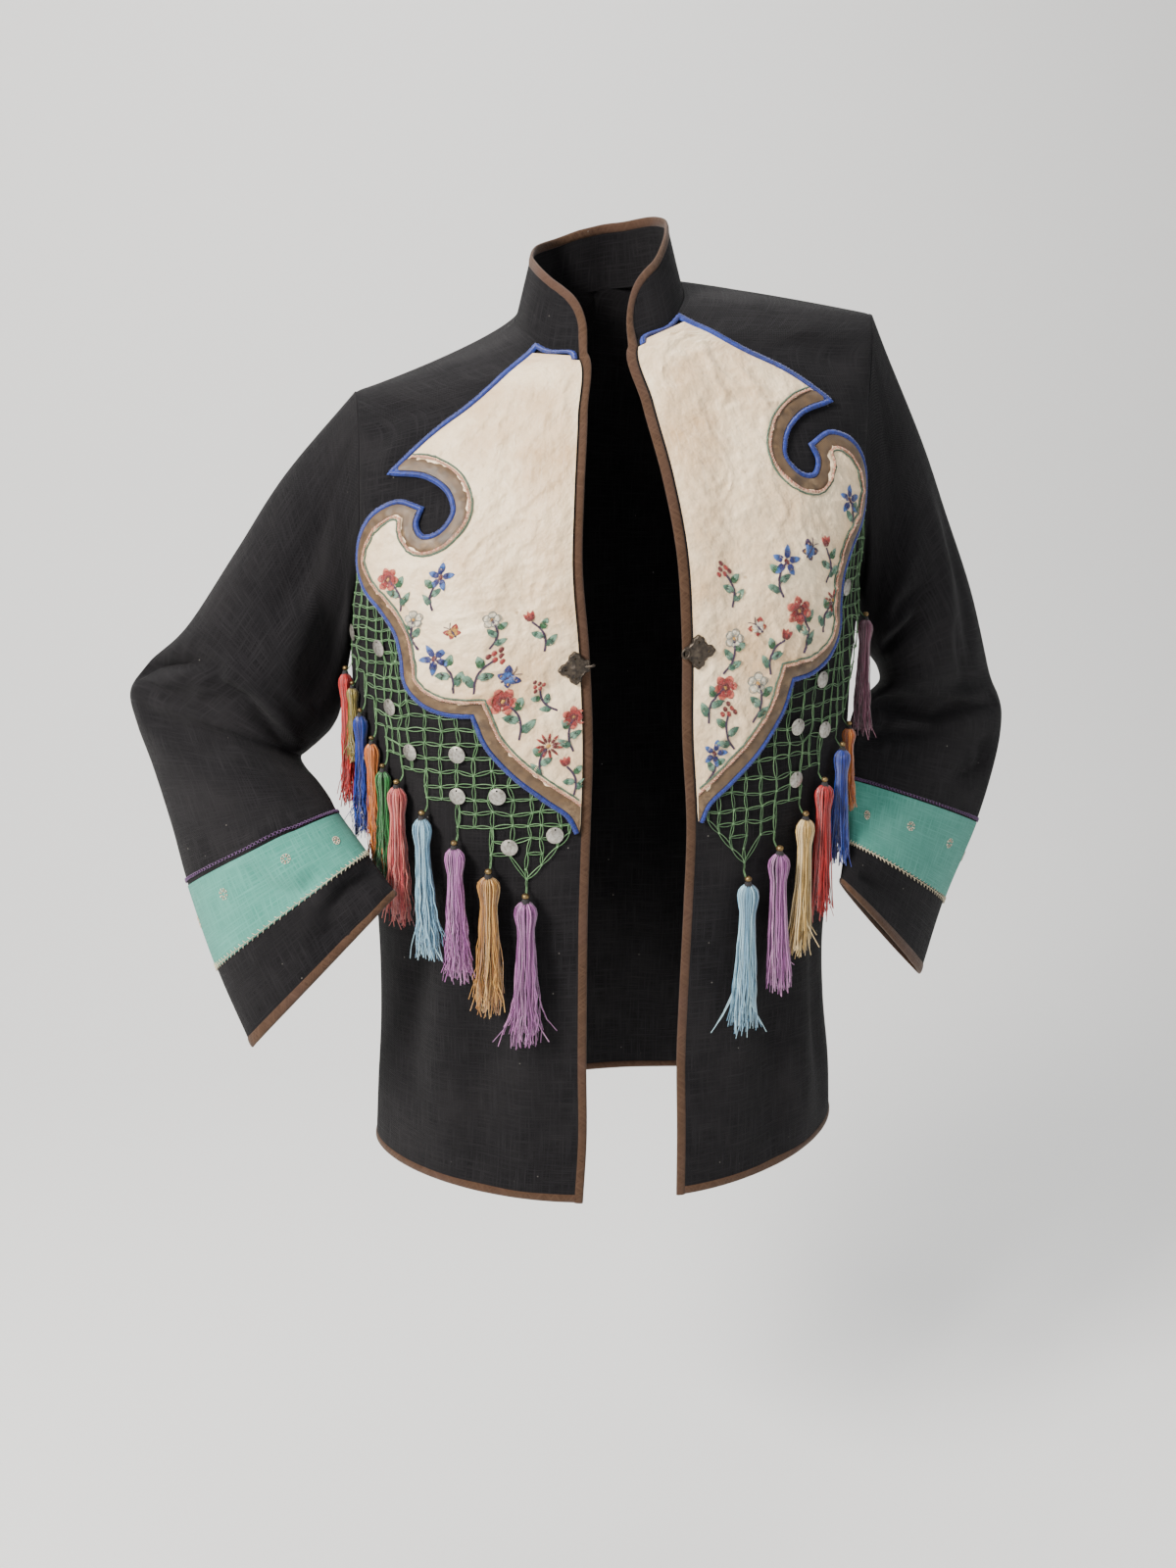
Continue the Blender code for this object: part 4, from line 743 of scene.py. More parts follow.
# ---- The bias bindings --------------------------------------------------------------
# Every free edge is covered by a narrow strip of brown cotton, cut on the bias, folded
# round the edge and stitched through. One strip runs up a front, round the collar and down.
BINDING_THICK = 0.0028    # whole binding, with the cloth inside it
STRIP_ROUND, STRIP_WALL = 0.017, 0.0005       # the strip's way round the edge, and its wall
bias = woven("brown_bias", (0.044, 0.0225, 0.0125, 1.0), (0.088, 0.048, 0.028, 1.0),
             (0.075, 0.04, 0.032, 1.0), threads=1500.0, lint=0.3, bump=0.35)


def folded_binding(name, inner, outer, normals):
    """A strip folded round an edge: from the inner line over the outer one and back under."""
    turn = np.linspace(0.12, 2 * math.pi - 0.12, 15)
    reach = -np.sign(np.cos(turn)) * np.abs(np.cos(turn)) ** 0.75
    rise = np.sin(turn)
    middle, half = (inner + outer) / 2, (outer - inner) / 2
    lift = -CLOTH / 2 * normals
    points = (middle + lift)[:, None] + half[:, None] * reach[:, None] \
        + (normals * BINDING_THICK / 2)[:, None] * rise[:, None]
    facing = unit(half)[:, None] * (np.abs(reach) ** 1.5 * np.sign(reach))[:, None] \
        + normals[:, None] * rise[:, None]
    lengths = run_lengths(outer)
    around = np.linspace(0, STRIP_ROUND, len(turn))
    diagonal = np.stack([lengths[:, None] + around[None], lengths[:, None] - around[None]], -1) * 0.7071
    return cloth_sheet(name, points, unit(facing), diagonal, bias, low=-STRIP_WALL), lengths[-1]


def bound(piece, node):
    """Hang a binding on the root body and hide the solid it replaces."""
    declared(piece, "binding", node)


def edge_lines(side, ups):
    """A front's free edge: inner and outer line of its binding, and the outward directions."""
    inner = fronts[side].at([(BINDING, up) for up in ups])[0]
    outer = fronts[side].at([(0.0, up) for up in ups])[0]
    return inner, outer, fronts[side].at([(BINDING / 2, up) for up in ups])[1]


ups = np.linspace(0.0, NECK - 0.001, 170)
inner_along, outer_along = inset_stations(BINDING), inset_stations(0.0)
inner_up, outer_up = collar_form.edge(inner_along, BINDING), collar_form.edge(outer_along)
collar_lines = (collar_form.point(inner_along, inner_up), collar_form.point(outer_along, outer_up),
                collar_form.normal(inner_along, inner_up))
up_right, down_left = edge_lines("right", ups), [a[::-1] for a in edge_lines("left", ups)]
strip, strip_length = folded_binding("long_binding", *[
    np.vstack([up_right[k], collar_lines[k], down_left[k]]) for k in range(3)])
bound(strip, "front_binding")


def hem_lines(panel, start=0.0):
    """A panel's hem: inner and outer line of its binding, and the outward directions."""
    across = np.linspace(start, panel.widths[0], 60)[:, None]
    inner = panel.at(np.hstack([across, np.full_like(across, BINDING)]))[0]
    return (inner, *panel.at(np.hstack([across, 0 * across])))


for side, panel in fronts.items():
    strip, strip_length = folded_binding("hem_strip_" + side, *hem_lines(panel, BINDING * 0.9))
    bound(strip, "hem_binding_" + side)
halves = [hem_lines(panel) for panel in backs.values()]
strip, strip_length = folded_binding("hem_strip_back", *[
    np.vstack([halves[0][k][::-1], halves[1][k][1:]]) for k in range(3)])
bound(strip, "hem_binding_back")
for side, sleeve in sleeves.items():
    end = CUFF_END[side]
    points, normals, _ = sleeve.grid(np.linspace(end - 0.16, end, 9))
    strip, strip_length = folded_binding("cuff_strip_" + side, points[1], points[-1], normals[4])
    bound(strip, "cuff_binding_" + side)

# ---- The satin yokes ----------------------------------------------------------------
# A shaped piece of old ivory silk satin lies on each front, from the neckline to the net.
# It is thin and soft, so it has crumpled all over and taken a few stains.
SEAM = 0.0003             # space between pieces that meet
YOKE_RUNS = {
    "neck": ((10, 620), (3.6, 633), (3.2, 648), (3.2, 660)),
    "slope": ((3.2, 660), (45, 638), (87, 615), (113, 602), (140, 580)),
    "hook": ((140, 580), (112, 570), (95, 553), (91, 538), (100, 527),
             (112, 527), (118, 537), (115, 548)),
    "lobe": ((115, 548), (133, 556.5), (152, 551), (166, 535), (172, 514),
             (164, 494), (147, 475), (136, 454), (133.5, 432), (132, 411),
             (119, 395), (100, 387), (81, 385.5)),
    "sweep": ((81, 385.5), (74, 364), (56, 340), (31, 318), (15, 304),
              (10, 293)),
}
EDGING = 0.0035           # width of the blue corded edging along the outline
RIBBON = 0.009           # width of the brown ribbon inside the edging
YOKE_LOW, YOKE_HIGH = 0.001, 0.002          # lower and upper face, above the front
RUN_STEP = 0.003          # spacing of points along the outline
# Pressed-in creases of the satin: half width, rise, then the line (across, up).
SATIN_CREASES = {
    "right": (
        (3.5, 1.2, (12, 596), (26, 588), (45, 590)),
        (4, 1.3, (14, 566), (34, 572), (60, 588)),
        (6, 1.2, (58, 600), (64, 570), (66, 530)),
        (4, -0.9, (30, 540), (45, 520), (62, 512)),
        (5, 1.2, (52, 505), (58, 480), (66, 462)),
        (4, 1, (125, 505), (118, 480), (121, 452)),
        (3.5, 1, (30, 372), (44, 360), (50, 352)),
        (5, -1, (85, 420), (100, 436), (118, 440))),
    "left": (
        (3.5, 1.3, (10, 628), (30, 634), (46, 626)),
        (4, 1.8, (50, 628), (56, 606), (57, 575)),
        (5, 1.6, (76, 606), (86, 580), (82, 545)),
        (5, -1, (12, 572), (32, 580), (50, 572)),
        (6, 1.2, (20, 510), (50, 503), (82, 516)),
        (5, -1, (30, 470), (60, 480), (90, 486)),
        (4, 1.1, (60, 420), (85, 414), (110, 424)),
        (4, 1, (20, 345), (30, 355), (50, 362))),
}


def smooth_run(points, spacing):
    """A smooth curve through a run of points, with its ends kept, at even spacing."""
    points = np.array(points, float)
    chord = run_lengths(points)
    steps = max(2, round(chord[-1] / spacing))
    return np.array([smooth(chord, points, at) for at in np.linspace(0, chord[-1], steps + 1)])


def outline(names, spacing=RUN_STEP):
    """Runs of the yoke's outline, joined at their shared corners."""
    runs = [smooth_run(np.array(YOKE_RUNS[name]) * MM, spacing) for name in names]
    return np.vstack([runs[0], *[run[1:] for run in runs[1:]]])


def beside(line, distance):
    """The line moved sideways, to the yoke's side where positive, with no crossings."""
    heading = unit(np.diff(line, axis=0))
    heading = np.vstack([heading[:1], heading, heading[-1:]])
    across = np.stack([heading[:, 1], -heading[:, 0]], -1)
    bisector = unit(across[:-1] + across[1:])
    mitre = np.clip((bisector * across[:-1]).sum(-1), 0.6, 1)
    moved = line + bisector * (distance / mitre)[:, None]
    return moved[nearest_on(line, moved)[0] > abs(distance) * 0.97]


def within(loop, points):
    """Whether each point lies inside a closed loop."""
    ends = np.roll(loop, -1, axis=0)
    spans = (loop[:, 1] > points[:, 1:]) != (ends[:, 1] > points[:, 1:])
    rise = np.where(ends[:, 1] == loop[:, 1], 1.0, ends[:, 1] - loop[:, 1])
    meets = loop[:, 0] + (points[:, 1:] - loop[:, 1]) * (ends[:, 0] - loop[:, 0]) / rise
    return (spans & (points[:, :1] < meets)).sum(axis=1) % 2 == 1


def cut_shape(border, holes=(), step=0.002):
    """A flat shape cut to its border and holes and filled with close points and faces."""
    loops = [np.asarray(loop, float) for loop in (border, *holes)]
    edges, first = [], 0
    for loop in loops:
        edges += [(first + i, first + (i + 1) % len(loop)) for i in range(len(loop))]
        first += len(loop)
    low, high = loops[0].min(axis=0), loops[0].max(axis=0)
    across, up = np.meshgrid(np.arange(low[0], high[0], step), np.arange(low[1], high[1], step * 0.866))
    across[1::2] += step / 2
    grid = np.stack([across, up], -1).reshape(-1, 2)
    grid = grid[within(loops[0], grid)]
    for loop in loops:
        grid = grid[nearest_on(np.vstack([loop, loop[:1]]), grid)[0] > step * 0.55]
    found = geometry.delaunay_2d_cdt([Vector(p) for p in np.vstack([*loops, grid])], edges, [], 0, 1e-7)
    flat = np.array([tuple(v) for v in found[0]])
    faces = np.array([tuple(f) for f in found[2]])
    middles = flat[faces].mean(axis=1)
    inside = within(loops[0], middles)
    for hole in loops[1:]:
        inside &= ~within(hole, middles)
    return flat, faces[inside]


def laid_on(name, side, flat, faces, finish, low, high, rise=0.0):
    """A flat shape laid on a front, with a wall's thickness."""
    points, normals = fronts[side].at(flat, rise)
    return walled(name, points, normals, faces if side == "left" else faces[:, ::-1],
                  flat, finish, low, high)


YOKE_OUTLINE = outline(YOKE_RUNS)
yoke_inner = beside(YOKE_OUTLINE, EDGING / 2 + SEAM)
front_edge = BINDING + 2 * SEAM
closing = np.array([(front_edge, up) for up in np.linspace(yoke_inner[-1][1] + 0.006, NECK - 0.004, 100)])
YOKE_BORDER = np.vstack([yoke_inner[yoke_inner[:, 0] > front_edge + SEAM], closing])


def crumple(side, flat):
    """How far the crumpled satin stands up at flat places; it lies flat at its border."""
    start = 3.0 if side == "right" else 41.0
    rises = np.zeros(len(flat))
    for i, (across, up) in enumerate(flat):
        place = Vector((across * 34 + start, up * 34, 0.0))
        bend = noise.noise(place * 0.8) * 0.9
        soft = noise.noise(place * 0.7 + Vector((9.0, bend, 1.0)))
        ridges = 1 - 2 * abs(noise.noise(place * 1.7 + Vector((bend, -bend, 5.0))))
        crinkle = 1 - 2 * abs(noise.noise(place * 4.1 + Vector((-bend, bend, 8.0))))
        rises[i] = 0.0018 * soft + 0.0014 * max(ridges, 0) ** 3 + 0.0005 * max(crinkle, 0) ** 2
    rises += creased(flat, SATIN_CREASES[side])
    away = nearest_on(YOKE_BORDER, flat)[0]
    return (rises + 0.0006) * np.clip(away / 0.012, 0.05, 1)


def silk_satin():
    """Ivory satin: fine warp threads, a soft lustre, crinkles, yellowing and a few stains."""
    made, tree, shader = finish_start("ivory_satin", 0.36, 0.15)
    place = flat_place(tree)
    yellowed = cloudy(tree, place, 14.0, 6.0, 0.62)
    colour = mixed(tree, scaled(tree, yellowed, 0.36, 0.68), (0.96, 0.77, 0.51, 1.0), (0.6, 0.39, 0.2, 1.0))
    warp = cloudy(tree, drawn_out(tree, place, (900.0, 35.0, 1.0)), 1.0, 2.0)
    colour = mixed(tree, scaled(tree, warp, 0.55, 0.8, 0.0, 0.25), colour, (0.88, 0.8, 0.66, 1.0))
    blots = cloudy(tree, place, 42.0, 3.0)
    colour = mixed(tree, scaled(tree, blots, 0.69, 0.78, 0.0, 0.6), colour, (0.42, 0.27, 0.13, 1.0))
    spots = add_node(tree, "ShaderNodeTexVoronoi", {"Vector": place, "Scale": 24.0}).outputs["Distance"]
    colour = mixed(tree, scaled(tree, spots, 0.045, 0.015, 0.0, 0.75), colour, (0.3, 0.18, 0.08, 1.0))
    crinkles = add_node(tree, "ShaderNodeTexVoronoi", {"Vector": place, "Scale": 150.0, "Detail": 2.0},
                        feature="SMOOTH_F1").outputs["Distance"]
    crepe = cloudy(tree, place, 260.0, 5.0, 0.7)
    height = calc(tree, "ADD", calc(tree, "MULTIPLY", crinkles, 1.3), calc(tree, "MULTIPLY", crepe, 0.9))
    height = calc(tree, "ADD", height, calc(tree, "MULTIPLY", warp, 0.1))
    surfaced(tree, shader, colour, scaled(tree, yellowed, 0.3, 0.7, 0.28, 0.44), height, 0.8, 0.0011)
    return made


satin = silk_satin()
satin_flat, satin_faces = cut_shape(YOKE_BORDER)
for side in SIGN:
    yoke = laid_on("yoke_satin_" + side, side, satin_flat, satin_faces, satin, YOKE_LOW, YOKE_HIGH,
                   crumple(side, satin_flat))
    declared(yoke, "satin", "yoke_" + side)

# ---- The ribbon round the yokes -----------------------------------------------------
# A brown-gold silk ribbon follows the hook, the lobe and the sweep just inside the edging.
# It is rubbed pale on its ridges, and puckers where it turns the corners.
RIBBON_LOW, RIBBON_HIGH = 0.002, 0.003      # lower and upper face, above the front
bound_runs = ["hook", "lobe", "sweep"]
ribbon_inner = beside(outline(bound_runs), EDGING / 2 + SEAM + RIBBON)
ribbon_inner = ribbon_inner[nearest_on(outline(["neck", "slope"]), ribbon_inner)[0] > EDGING]
ribbon_inner = ribbon_inner[within(YOKE_BORDER, ribbon_inner)]
corner = int(np.argmin(np.linalg.norm(yoke_inner[:160] - ribbon_inner[0], axis=1)))
ribbon_outer = yoke_inner[corner + 1:]
ribbon_outer = ribbon_outer[ribbon_outer[:, 0] > front_edge + SEAM]
ribbon_border = np.vstack([ribbon_outer, ribbon_inner[::-1]])


def rubbed_silk(name, dark, light, rubbed):
    """Ribbed silk ribbon, uneven in colour and rubbed pale."""
    made, tree, shader = finish_start(name, 0.5, 0.15)
    place = flat_place(tree)
    patches, worn = cloudy(tree, place, 120.0, 5.0), cloudy(tree, place, 45.0, 6.0, 0.7)
    colour = mixed(tree, scaled(tree, patches, 0.35, 0.65), dark, light)
    colour = mixed(tree, scaled(tree, worn, 0.56, 0.7, 0.0, 0.8), colour, rubbed)
    ribs = add_node(tree, "ShaderNodeTexWave", {"Vector": place, "Scale": 330.0, "Distortion": 1.5},
                    bands_direction="DIAGONAL").outputs["Fac"]
    height = calc(tree, "ADD", calc(tree, "MULTIPLY", ribs, 0.25), patches)
    surfaced(tree, shader, colour, scaled(tree, worn, 0.4, 0.7, 0.55, 0.36), height, 0.5, 0.0006)
    return made


silk_ribbon = rubbed_silk("brown_ribbon", (0.055, 0.029, 0.011, 1.0), (0.115, 0.066, 0.028, 1.0),
                          (0.27, 0.175, 0.085, 1.0))
ribbon_flat, ribbon_faces = cut_shape(ribbon_border, step=0.0014)
near_rim = nearest_on(np.vstack([ribbon_border, ribbon_border[:1]]), ribbon_flat)[0]
for side in SIGN:
    pucker = np.array([noise.noise(Vector((a * 210, up * 210, 4.0 if side == "left" else 19.0)))
                       for a, up in ribbon_flat])
    swell = (0.0005 + 0.0005 * pucker) * np.clip(near_rim / 0.0025, 0, 1)
    ribbon = laid_on("yoke_ribbon_silk_" + side, side, ribbon_flat, ribbon_faces, silk_ribbon,
                     RIBBON_LOW, RIBBON_HIGH, swell)
    declared(ribbon, "ribbon", "yoke_ribbon_" + side)

# ---- The corded edging --------------------------------------------------------------
# The yoke's raw edge is covered by a soft cord, oversewn with bright blue silk thread laid
# close side by side across it.
CORD_FOOT, CORD_CROWN = 0.0019, 0.0009        # upper face at the cord's sides, and rise of its middle
CORD_WALL = 0.0009


def grown(name, source, tree, **values):
    """The plain mesh that a tree of nodes makes of a source mesh."""
    carrier = shown(name + "_source", source)
    work = carrier.modifiers.new("grow", "NODES")
    work.node_group = tree
    for item in tree.interface.items_tree:
        if item.in_out == "INPUT" and item.name in values:
            work[item.identifier] = values[item.name]
    solved = bpy.context.evaluated_depsgraph_get()
    mesh = bpy.data.meshes.new_from_object(carrier.evaluated_get(solved))
    bpy.data.objects.remove(carrier)
    for extra in ("along", "out", "span", "thick"):
        if extra in mesh.attributes:
            mesh.attributes.remove(mesh.attributes[extra])
    return shown(name, mesh)


def growing_tree(name, inputs):
    """An empty tree of geometry nodes with named inputs, and its two end nodes."""
    tree = bpy.data.node_groups.new(name, "GeometryNodeTree")
    for title, kind, value in (("Geometry", "Geometry", None), *inputs, ("Finish", "Material", None)):
        made = tree.interface.new_socket(title, in_out="INPUT", socket_type="NodeSocket" + kind)
        if value is not None:
            made.default_value = value
    tree.interface.new_socket("Geometry", in_out="OUTPUT", socket_type="NodeSocketGeometry")
    return tree, tree.nodes.new("NodeGroupInput"), tree.nodes.new("NodeGroupOutput")


def named(tree, title, kind):
    """A stored value of the source mesh."""
    return add_node(tree, "GeometryNodeInputNamedAttribute", {"Name": title},
                    data_type=kind).outputs["Attribute"]


def finished_tree(tree, given, result, geometry_socket):
    """Realize what was made, smooth it, give it its finish and put it out."""
    real = add_node(tree, "GeometryNodeRealizeInstances", {"Geometry": geometry_socket}).outputs[0]
    soft = add_node(tree, "GeometryNodeSetShadeSmooth", {0: real}).outputs[0]
    done = add_node(tree, "GeometryNodeSetMaterial", {"Geometry": soft, "Material": given.outputs["Finish"]})
    tree.links.new(done.outputs[0], result.inputs[0])


def laid_threads():
    """Short straight threads, one for each source point, along its own direction."""
    tree, given, result = growing_tree("laid_threads", (
        ("Width", "Float", 0.0005), ("Height", "Float", 0.0005),
        ("Uneven", "Float", 0.1), ("Seed", "Int", 1)))
    # Each thread is a slim grain of silk; its ends dip into the cloth.
    grain = add_node(tree, "GeometryNodeMeshIcoSphere", {"Radius": 0.5, "Subdivisions": 1}).outputs["Mesh"]
    upright = add_node(tree, "FunctionNodeAlignRotationToVector", {
        "Vector": named(tree, "out", "FLOAT_VECTOR")}, axis="Z").outputs[0]
    turned = add_node(tree, "FunctionNodeAlignRotationToVector", {
        "Rotation": upright, "Vector": named(tree, "along", "FLOAT_VECTOR")},
        axis="X", pivot_axis="Z").outputs[0]
    least, most = (calc(tree, way, 1.0, given.outputs["Uneven"]) for way in ("SUBTRACT", "ADD"))
    uneven = add_node(tree, "FunctionNodeRandomValue", {2: least, 3: most, "Seed": given.outputs["Seed"]},
                      data_type="FLOAT").outputs[1]
    span = calc(tree, "MULTIPLY", named(tree, "span", "FLOAT"), uneven)
    size = add_node(tree, "ShaderNodeCombineXYZ", {
        "X": span, "Y": given.outputs["Width"], "Z": given.outputs["Height"]}).outputs[0]
    placed = add_node(tree, "GeometryNodeInstanceOnPoints", {
        "Points": given.outputs["Geometry"], "Instance": grain, "Rotation": turned, "Scale": size}).outputs[0]
    finished_tree(tree, given, result, placed)
    return tree


LAID_THREADS = laid_threads()


def stored(mesh, title, kind, values):
    """Store one value for each point of a mesh."""
    made = mesh.attributes.new(title, kind, "POINT")
    field = {"FLOAT": "value", "FLOAT_VECTOR": "vector", "FLOAT_COLOR": "color"}[kind]
    made.data.foreach_set(field, np.ascontiguousarray(values, dtype=np.float32).ravel())


def sewn(name, points, along, out, span, tint, finish, width, height, uneven=0.1, seed=1):
    """Laid threads at points: each lies along its direction with its own length and colour."""
    source = bpy.data.meshes.new(name + "_source")
    source.from_pydata(np.asarray(points).tolist(), [], [])
    for title, kind, values in (("along", "FLOAT_VECTOR", along), ("out", "FLOAT_VECTOR", out),
                                ("span", "FLOAT", span), ("tint", "FLOAT_COLOR", tint)):
        stored(source, title, kind, values)
    return grown(name, source, LAID_THREADS,
                 Width=width, Height=height, Uneven=uneven, Seed=seed, Finish=finish)


def silk_thread(name, roughness=0.38, sheen=0.3, spread=0.35):
    """Floss silk: each thread keeps its own tint, a little uneven along it."""
    made, tree, shader = finish_start(name, roughness, sheen)
    tint = add_node(tree, "ShaderNodeAttribute", attribute_name="tint").outputs["Color"]
    fibres = cloudy(tree, add_node(tree, "ShaderNodeTexCoord").outputs["Object"], 900.0, 3.0)
    darker = mixed(tree, scaled(tree, fibres, 0.35, 0.75, 0.0, spread), tint, (0.02, 0.015, 0.015, 1.0))
    surfaced(tree, shader, darker, None, fibres, 0.3, 0.0002)
    return made


def opaque(colours):
    """Colours with their fourth value, for no transparency."""
    return np.hstack([colours, np.ones((len(colours), 1))])


def spaced(line, step):
    """Places at even spacing along a line of straight pieces, and its heading at each."""
    lengths = run_lengths(line)
    at = np.arange(step / 2, lengths[-1], step)
    places, ahead, behind = (read_line(at + move, lengths, line) for move in (0.0, step / 2, -step / 2))
    return places, unit(ahead - behind + 1e-12)


def turned_by(heading, angle):
    """Flat directions turned to the left by an angle."""
    x, y, cos, sin = heading[:, 0], heading[:, 1], np.cos(angle), np.sin(angle)
    return np.stack([x * cos - y * sin, x * sin + y * cos], -1)


AHEAD = 0.0005            # step along a thread, to find the way it lies


def over_front(side, flat, heading, lift):
    """Points, lengthwise and outward directions for threads laid on a front."""
    points, out = fronts[side].at(flat, lift)
    ahead = fronts[side].at(flat + heading * AHEAD, lift)[0]
    return points, unit(ahead - points), out


floss = silk_thread("silk_floss")
edging_border = np.vstack([beside(YOKE_OUTLINE, EDGING / 2), beside(YOKE_OUTLINE, -EDGING / 2)[::-1]])
edging_flat, edging_faces = cut_shape(edging_border, step=0.0012)
from_middle = nearest_on(YOKE_OUTLINE, edging_flat)[0] / (EDGING / 2)
crown = np.sqrt(np.clip(1 - from_middle ** 2, 0, 1))
places, headings = spaced(YOKE_OUTLINE, 0.00046)
draws = np.random.default_rng(11)
core_blue = rubbed_silk("blue_cord", (0.006, 0.022, 0.17, 1.0), (0.012, 0.045, 0.3, 1.0),
                        (0.02, 0.06, 0.36, 1.0))
for side in SIGN:
    core = laid_on("yoke_cord_" + side, side, edging_flat, edging_faces, core_blue, -CORD_WALL, 0.0,
                   CORD_FOOT + CORD_CROWN * crown)
    declared(core, "edging", "yoke_edging_" + side)
    count = len(places)
    shade = draws.uniform(0.55, 1.35, (count, 1))
    tint = opaque(np.array([[0.008, 0.032, 0.27]]) * shade)
    across_cord = turned_by(headings, math.pi / 2 + draws.normal(0, 0.14, count))
    wander = across_cord * draws.normal(0, 0.00016, (count, 1))
    points, along, out = over_front(side, places + wander, across_cord, 0.0024)
    wrapped = sewn("yoke_wrapping_" + side, points, along, out, draws.uniform(0.0037, 0.0044, count),
                   tint, floss, width=0.00062, height=0.0022, uneven=0.03)
    declared(wrapped, "edging")

# ---- The chain and cord beside the ribbon -------------------------------------------
# Along its satin side the ribbon is held down by a line of peach and white chain stitch,
# and beside that a twisted dark-green cord is couched onto the satin.
def on_satin(side, flat, heading, lift):
    """Points, lengthwise and outward directions for threads laid on the crumpled satin."""
    return over_front(side, flat, heading, YOKE_HIGH + crumple(side, flat) + lift)


def tints(colours, count, draws, spread=0.25):
    """One colour for each thread: the given ones in turn, each a little lighter or darker."""
    base = np.array([colours[i % len(colours)] for i in range(count)])
    return opaque(base * draws.uniform(1 - spread, 1 + spread, (count, 1)))


# Space from the ribbon's rim, spacing, turn, length, width and height of the threads, and colours.
COUCHED = {
    "chain_left": (0.6, 1.7, 0.45, 2.5, 0.9, 1.0, ((0.55, 0.22, 0.13), (0.62, 0.36, 0.24))),
    "chain_right": (-0.3, 1.7, -0.45, 2.5, 0.9, 1.0, ((0.62, 0.36, 0.24), (0.5, 0.18, 0.11))),
    "green_cord": (2.2, 1.1, 0.42, 2.3, 1.4, 1.4, ((0.035, 0.085, 0.05), (0.06, 0.13, 0.075))),
}
CHAIN_LIFT, GREEN_LIFT = 0.0016, 0.0004       # middles of the threads, above the satin
for side in SIGN:
    for name, (space, step, turn, span, width, height, colours) in COUCHED.items():
        line = beside(ribbon_inner, space * MM) if space > 0 else ribbon_inner
        places, headings = spaced(line[within(YOKE_BORDER, line)], step * MM)
        count = len(places)
        directions = turned_by(headings, turn + draws.normal(0, 0.1, count))
        lift = GREEN_LIFT if name == "green_cord" else CHAIN_LIFT
        made = sewn(f"yoke_{name}_{side}", *on_satin(side, places, directions, lift),
                    np.full(count, span * MM), tints(colours, count, draws), floss,
                    width * MM, height * MM, uneven=0.15)
        declared(made, "ribbon")

# ---- The knotted nets ---------------------------------------------------------------
# A net of doubled green cotton threads hangs from each yoke's lower edge. The threads are
# knotted where they cross, and bow apart between the knots.
NET_COLUMNS = ("top_across", "top_up", "foot_right", "foot_left", "foot_front", "foot_outer")
NET_ROWS = (
    (15, 300, 15, 15, 294, 294),
    (23, 310, 23, 23, 284, 284),
    (33, 318, 33.5, 33.5, 271, 271),
    (43.5, 328, 43.5, 43.5, 260, 260),
    (56, 338, 56.2, 55.5, 279, 279),
    (69, 355, 69, 67.5, 279, 300),
    (81.2, 381, 81.2, 79.5, 300, 300),
    (93.5, 385, 93.5, 90.5, 300, 321),
    (105.7, 388, 105.7, 100, 321, 321),
    (118, 392, 118, 110, 321, 342),
    (131, 404, 130.5, 120.5, 342, 342),
    (137, 448, 142, 130, 342, 352.5),
    (141, 460, 151, 139, 352.5, 352.5),
    (146.5, 469, 159, 147.5, 352.5, 373.5),
    (153, 479, 171.5, 155.5, 373.5, 394.5),
    (160, 487, 184, 163, 394.5, 415.5),
    (166.5, 496, 196, 170, 415.5, 426),
    (173, 508, 208.5, 176, 426, 426),
)
NET_PITCH, NET_LOWEST, NET_HIGHEST = 0.0105, 0.258, 0.52
NET_LIFT = 0.0016         # middle of the net's threads, above the front
NET_THREAD = 0.0003      # radius of one of the two threads
BOW, DRAWN = 0.0015, 0.0003     # half the space between them midway, and at a knot
TAIL = 0.006             # length of doubled thread that carries each tassel


def laid_cords():
    """Thin round cords along the source's lines, each point with its own thickness."""
    tree, given, result = growing_tree("laid_cords", (("Radius", "Float", 0.0005), ("Sides", "Int", 5)))
    lines = add_node(tree, "GeometryNodeMeshToCurve", {"Mesh": given.outputs["Geometry"]}).outputs[0]
    thick = calc(tree, "MULTIPLY", named(tree, "thick", "FLOAT"), given.outputs["Radius"])
    ring = add_node(tree, "GeometryNodeCurvePrimitiveCircle", {
        "Resolution": given.outputs["Sides"], "Radius": 1.0}).outputs[0]
    tubes = add_node(tree, "GeometryNodeCurveToMesh", {
        "Curve": lines, "Profile Curve": ring, "Scale": thick, "Fill Caps": True}).outputs[0]
    finished_tree(tree, given, result, tubes)
    return tree


LAID_CORDS = laid_cords()


def corded(name, lines, tint, finish, radius, sides=5, thick=None):
    """Round cords along lines of points, each line with its colour."""
    starts = np.cumsum([0] + [len(line) for line in lines])
    edges = [(k, k + 1) for first, last in zip(starts[:-1], starts[1:]) for k in range(first, last - 1)]
    source = bpy.data.meshes.new(name + "_source")
    source.from_pydata(np.vstack(lines).tolist(), edges, [])
    colours = np.repeat(np.asarray(tint), [len(line) for line in lines], axis=0)
    stored(source, "tint", "FLOAT_COLOR", colours)
    stored(source, "thick", "FLOAT", np.ones(starts[-1]) if thick is None else np.concatenate(thick))
    return grown(name, source, LAID_CORDS, Radius=radius, Sides=sides, Finish=finish)


def pointing(angle):
    """The flat direction of an angle."""
    return np.stack([np.cos(angle), np.sin(angle)], -1)


def to_left(heading):
    """A flat direction turned a quarter to the left."""
    return np.array([-heading[1], heading[0]])


def net_rows(side):
    """The upright strands of one net, each with its columns named."""
    rows = [dict(zip(NET_COLUMNS, np.array(row) * MM)) for row in NET_ROWS]
    for row in rows:
        row["foot"] = row["foot_" + side]
    return rows


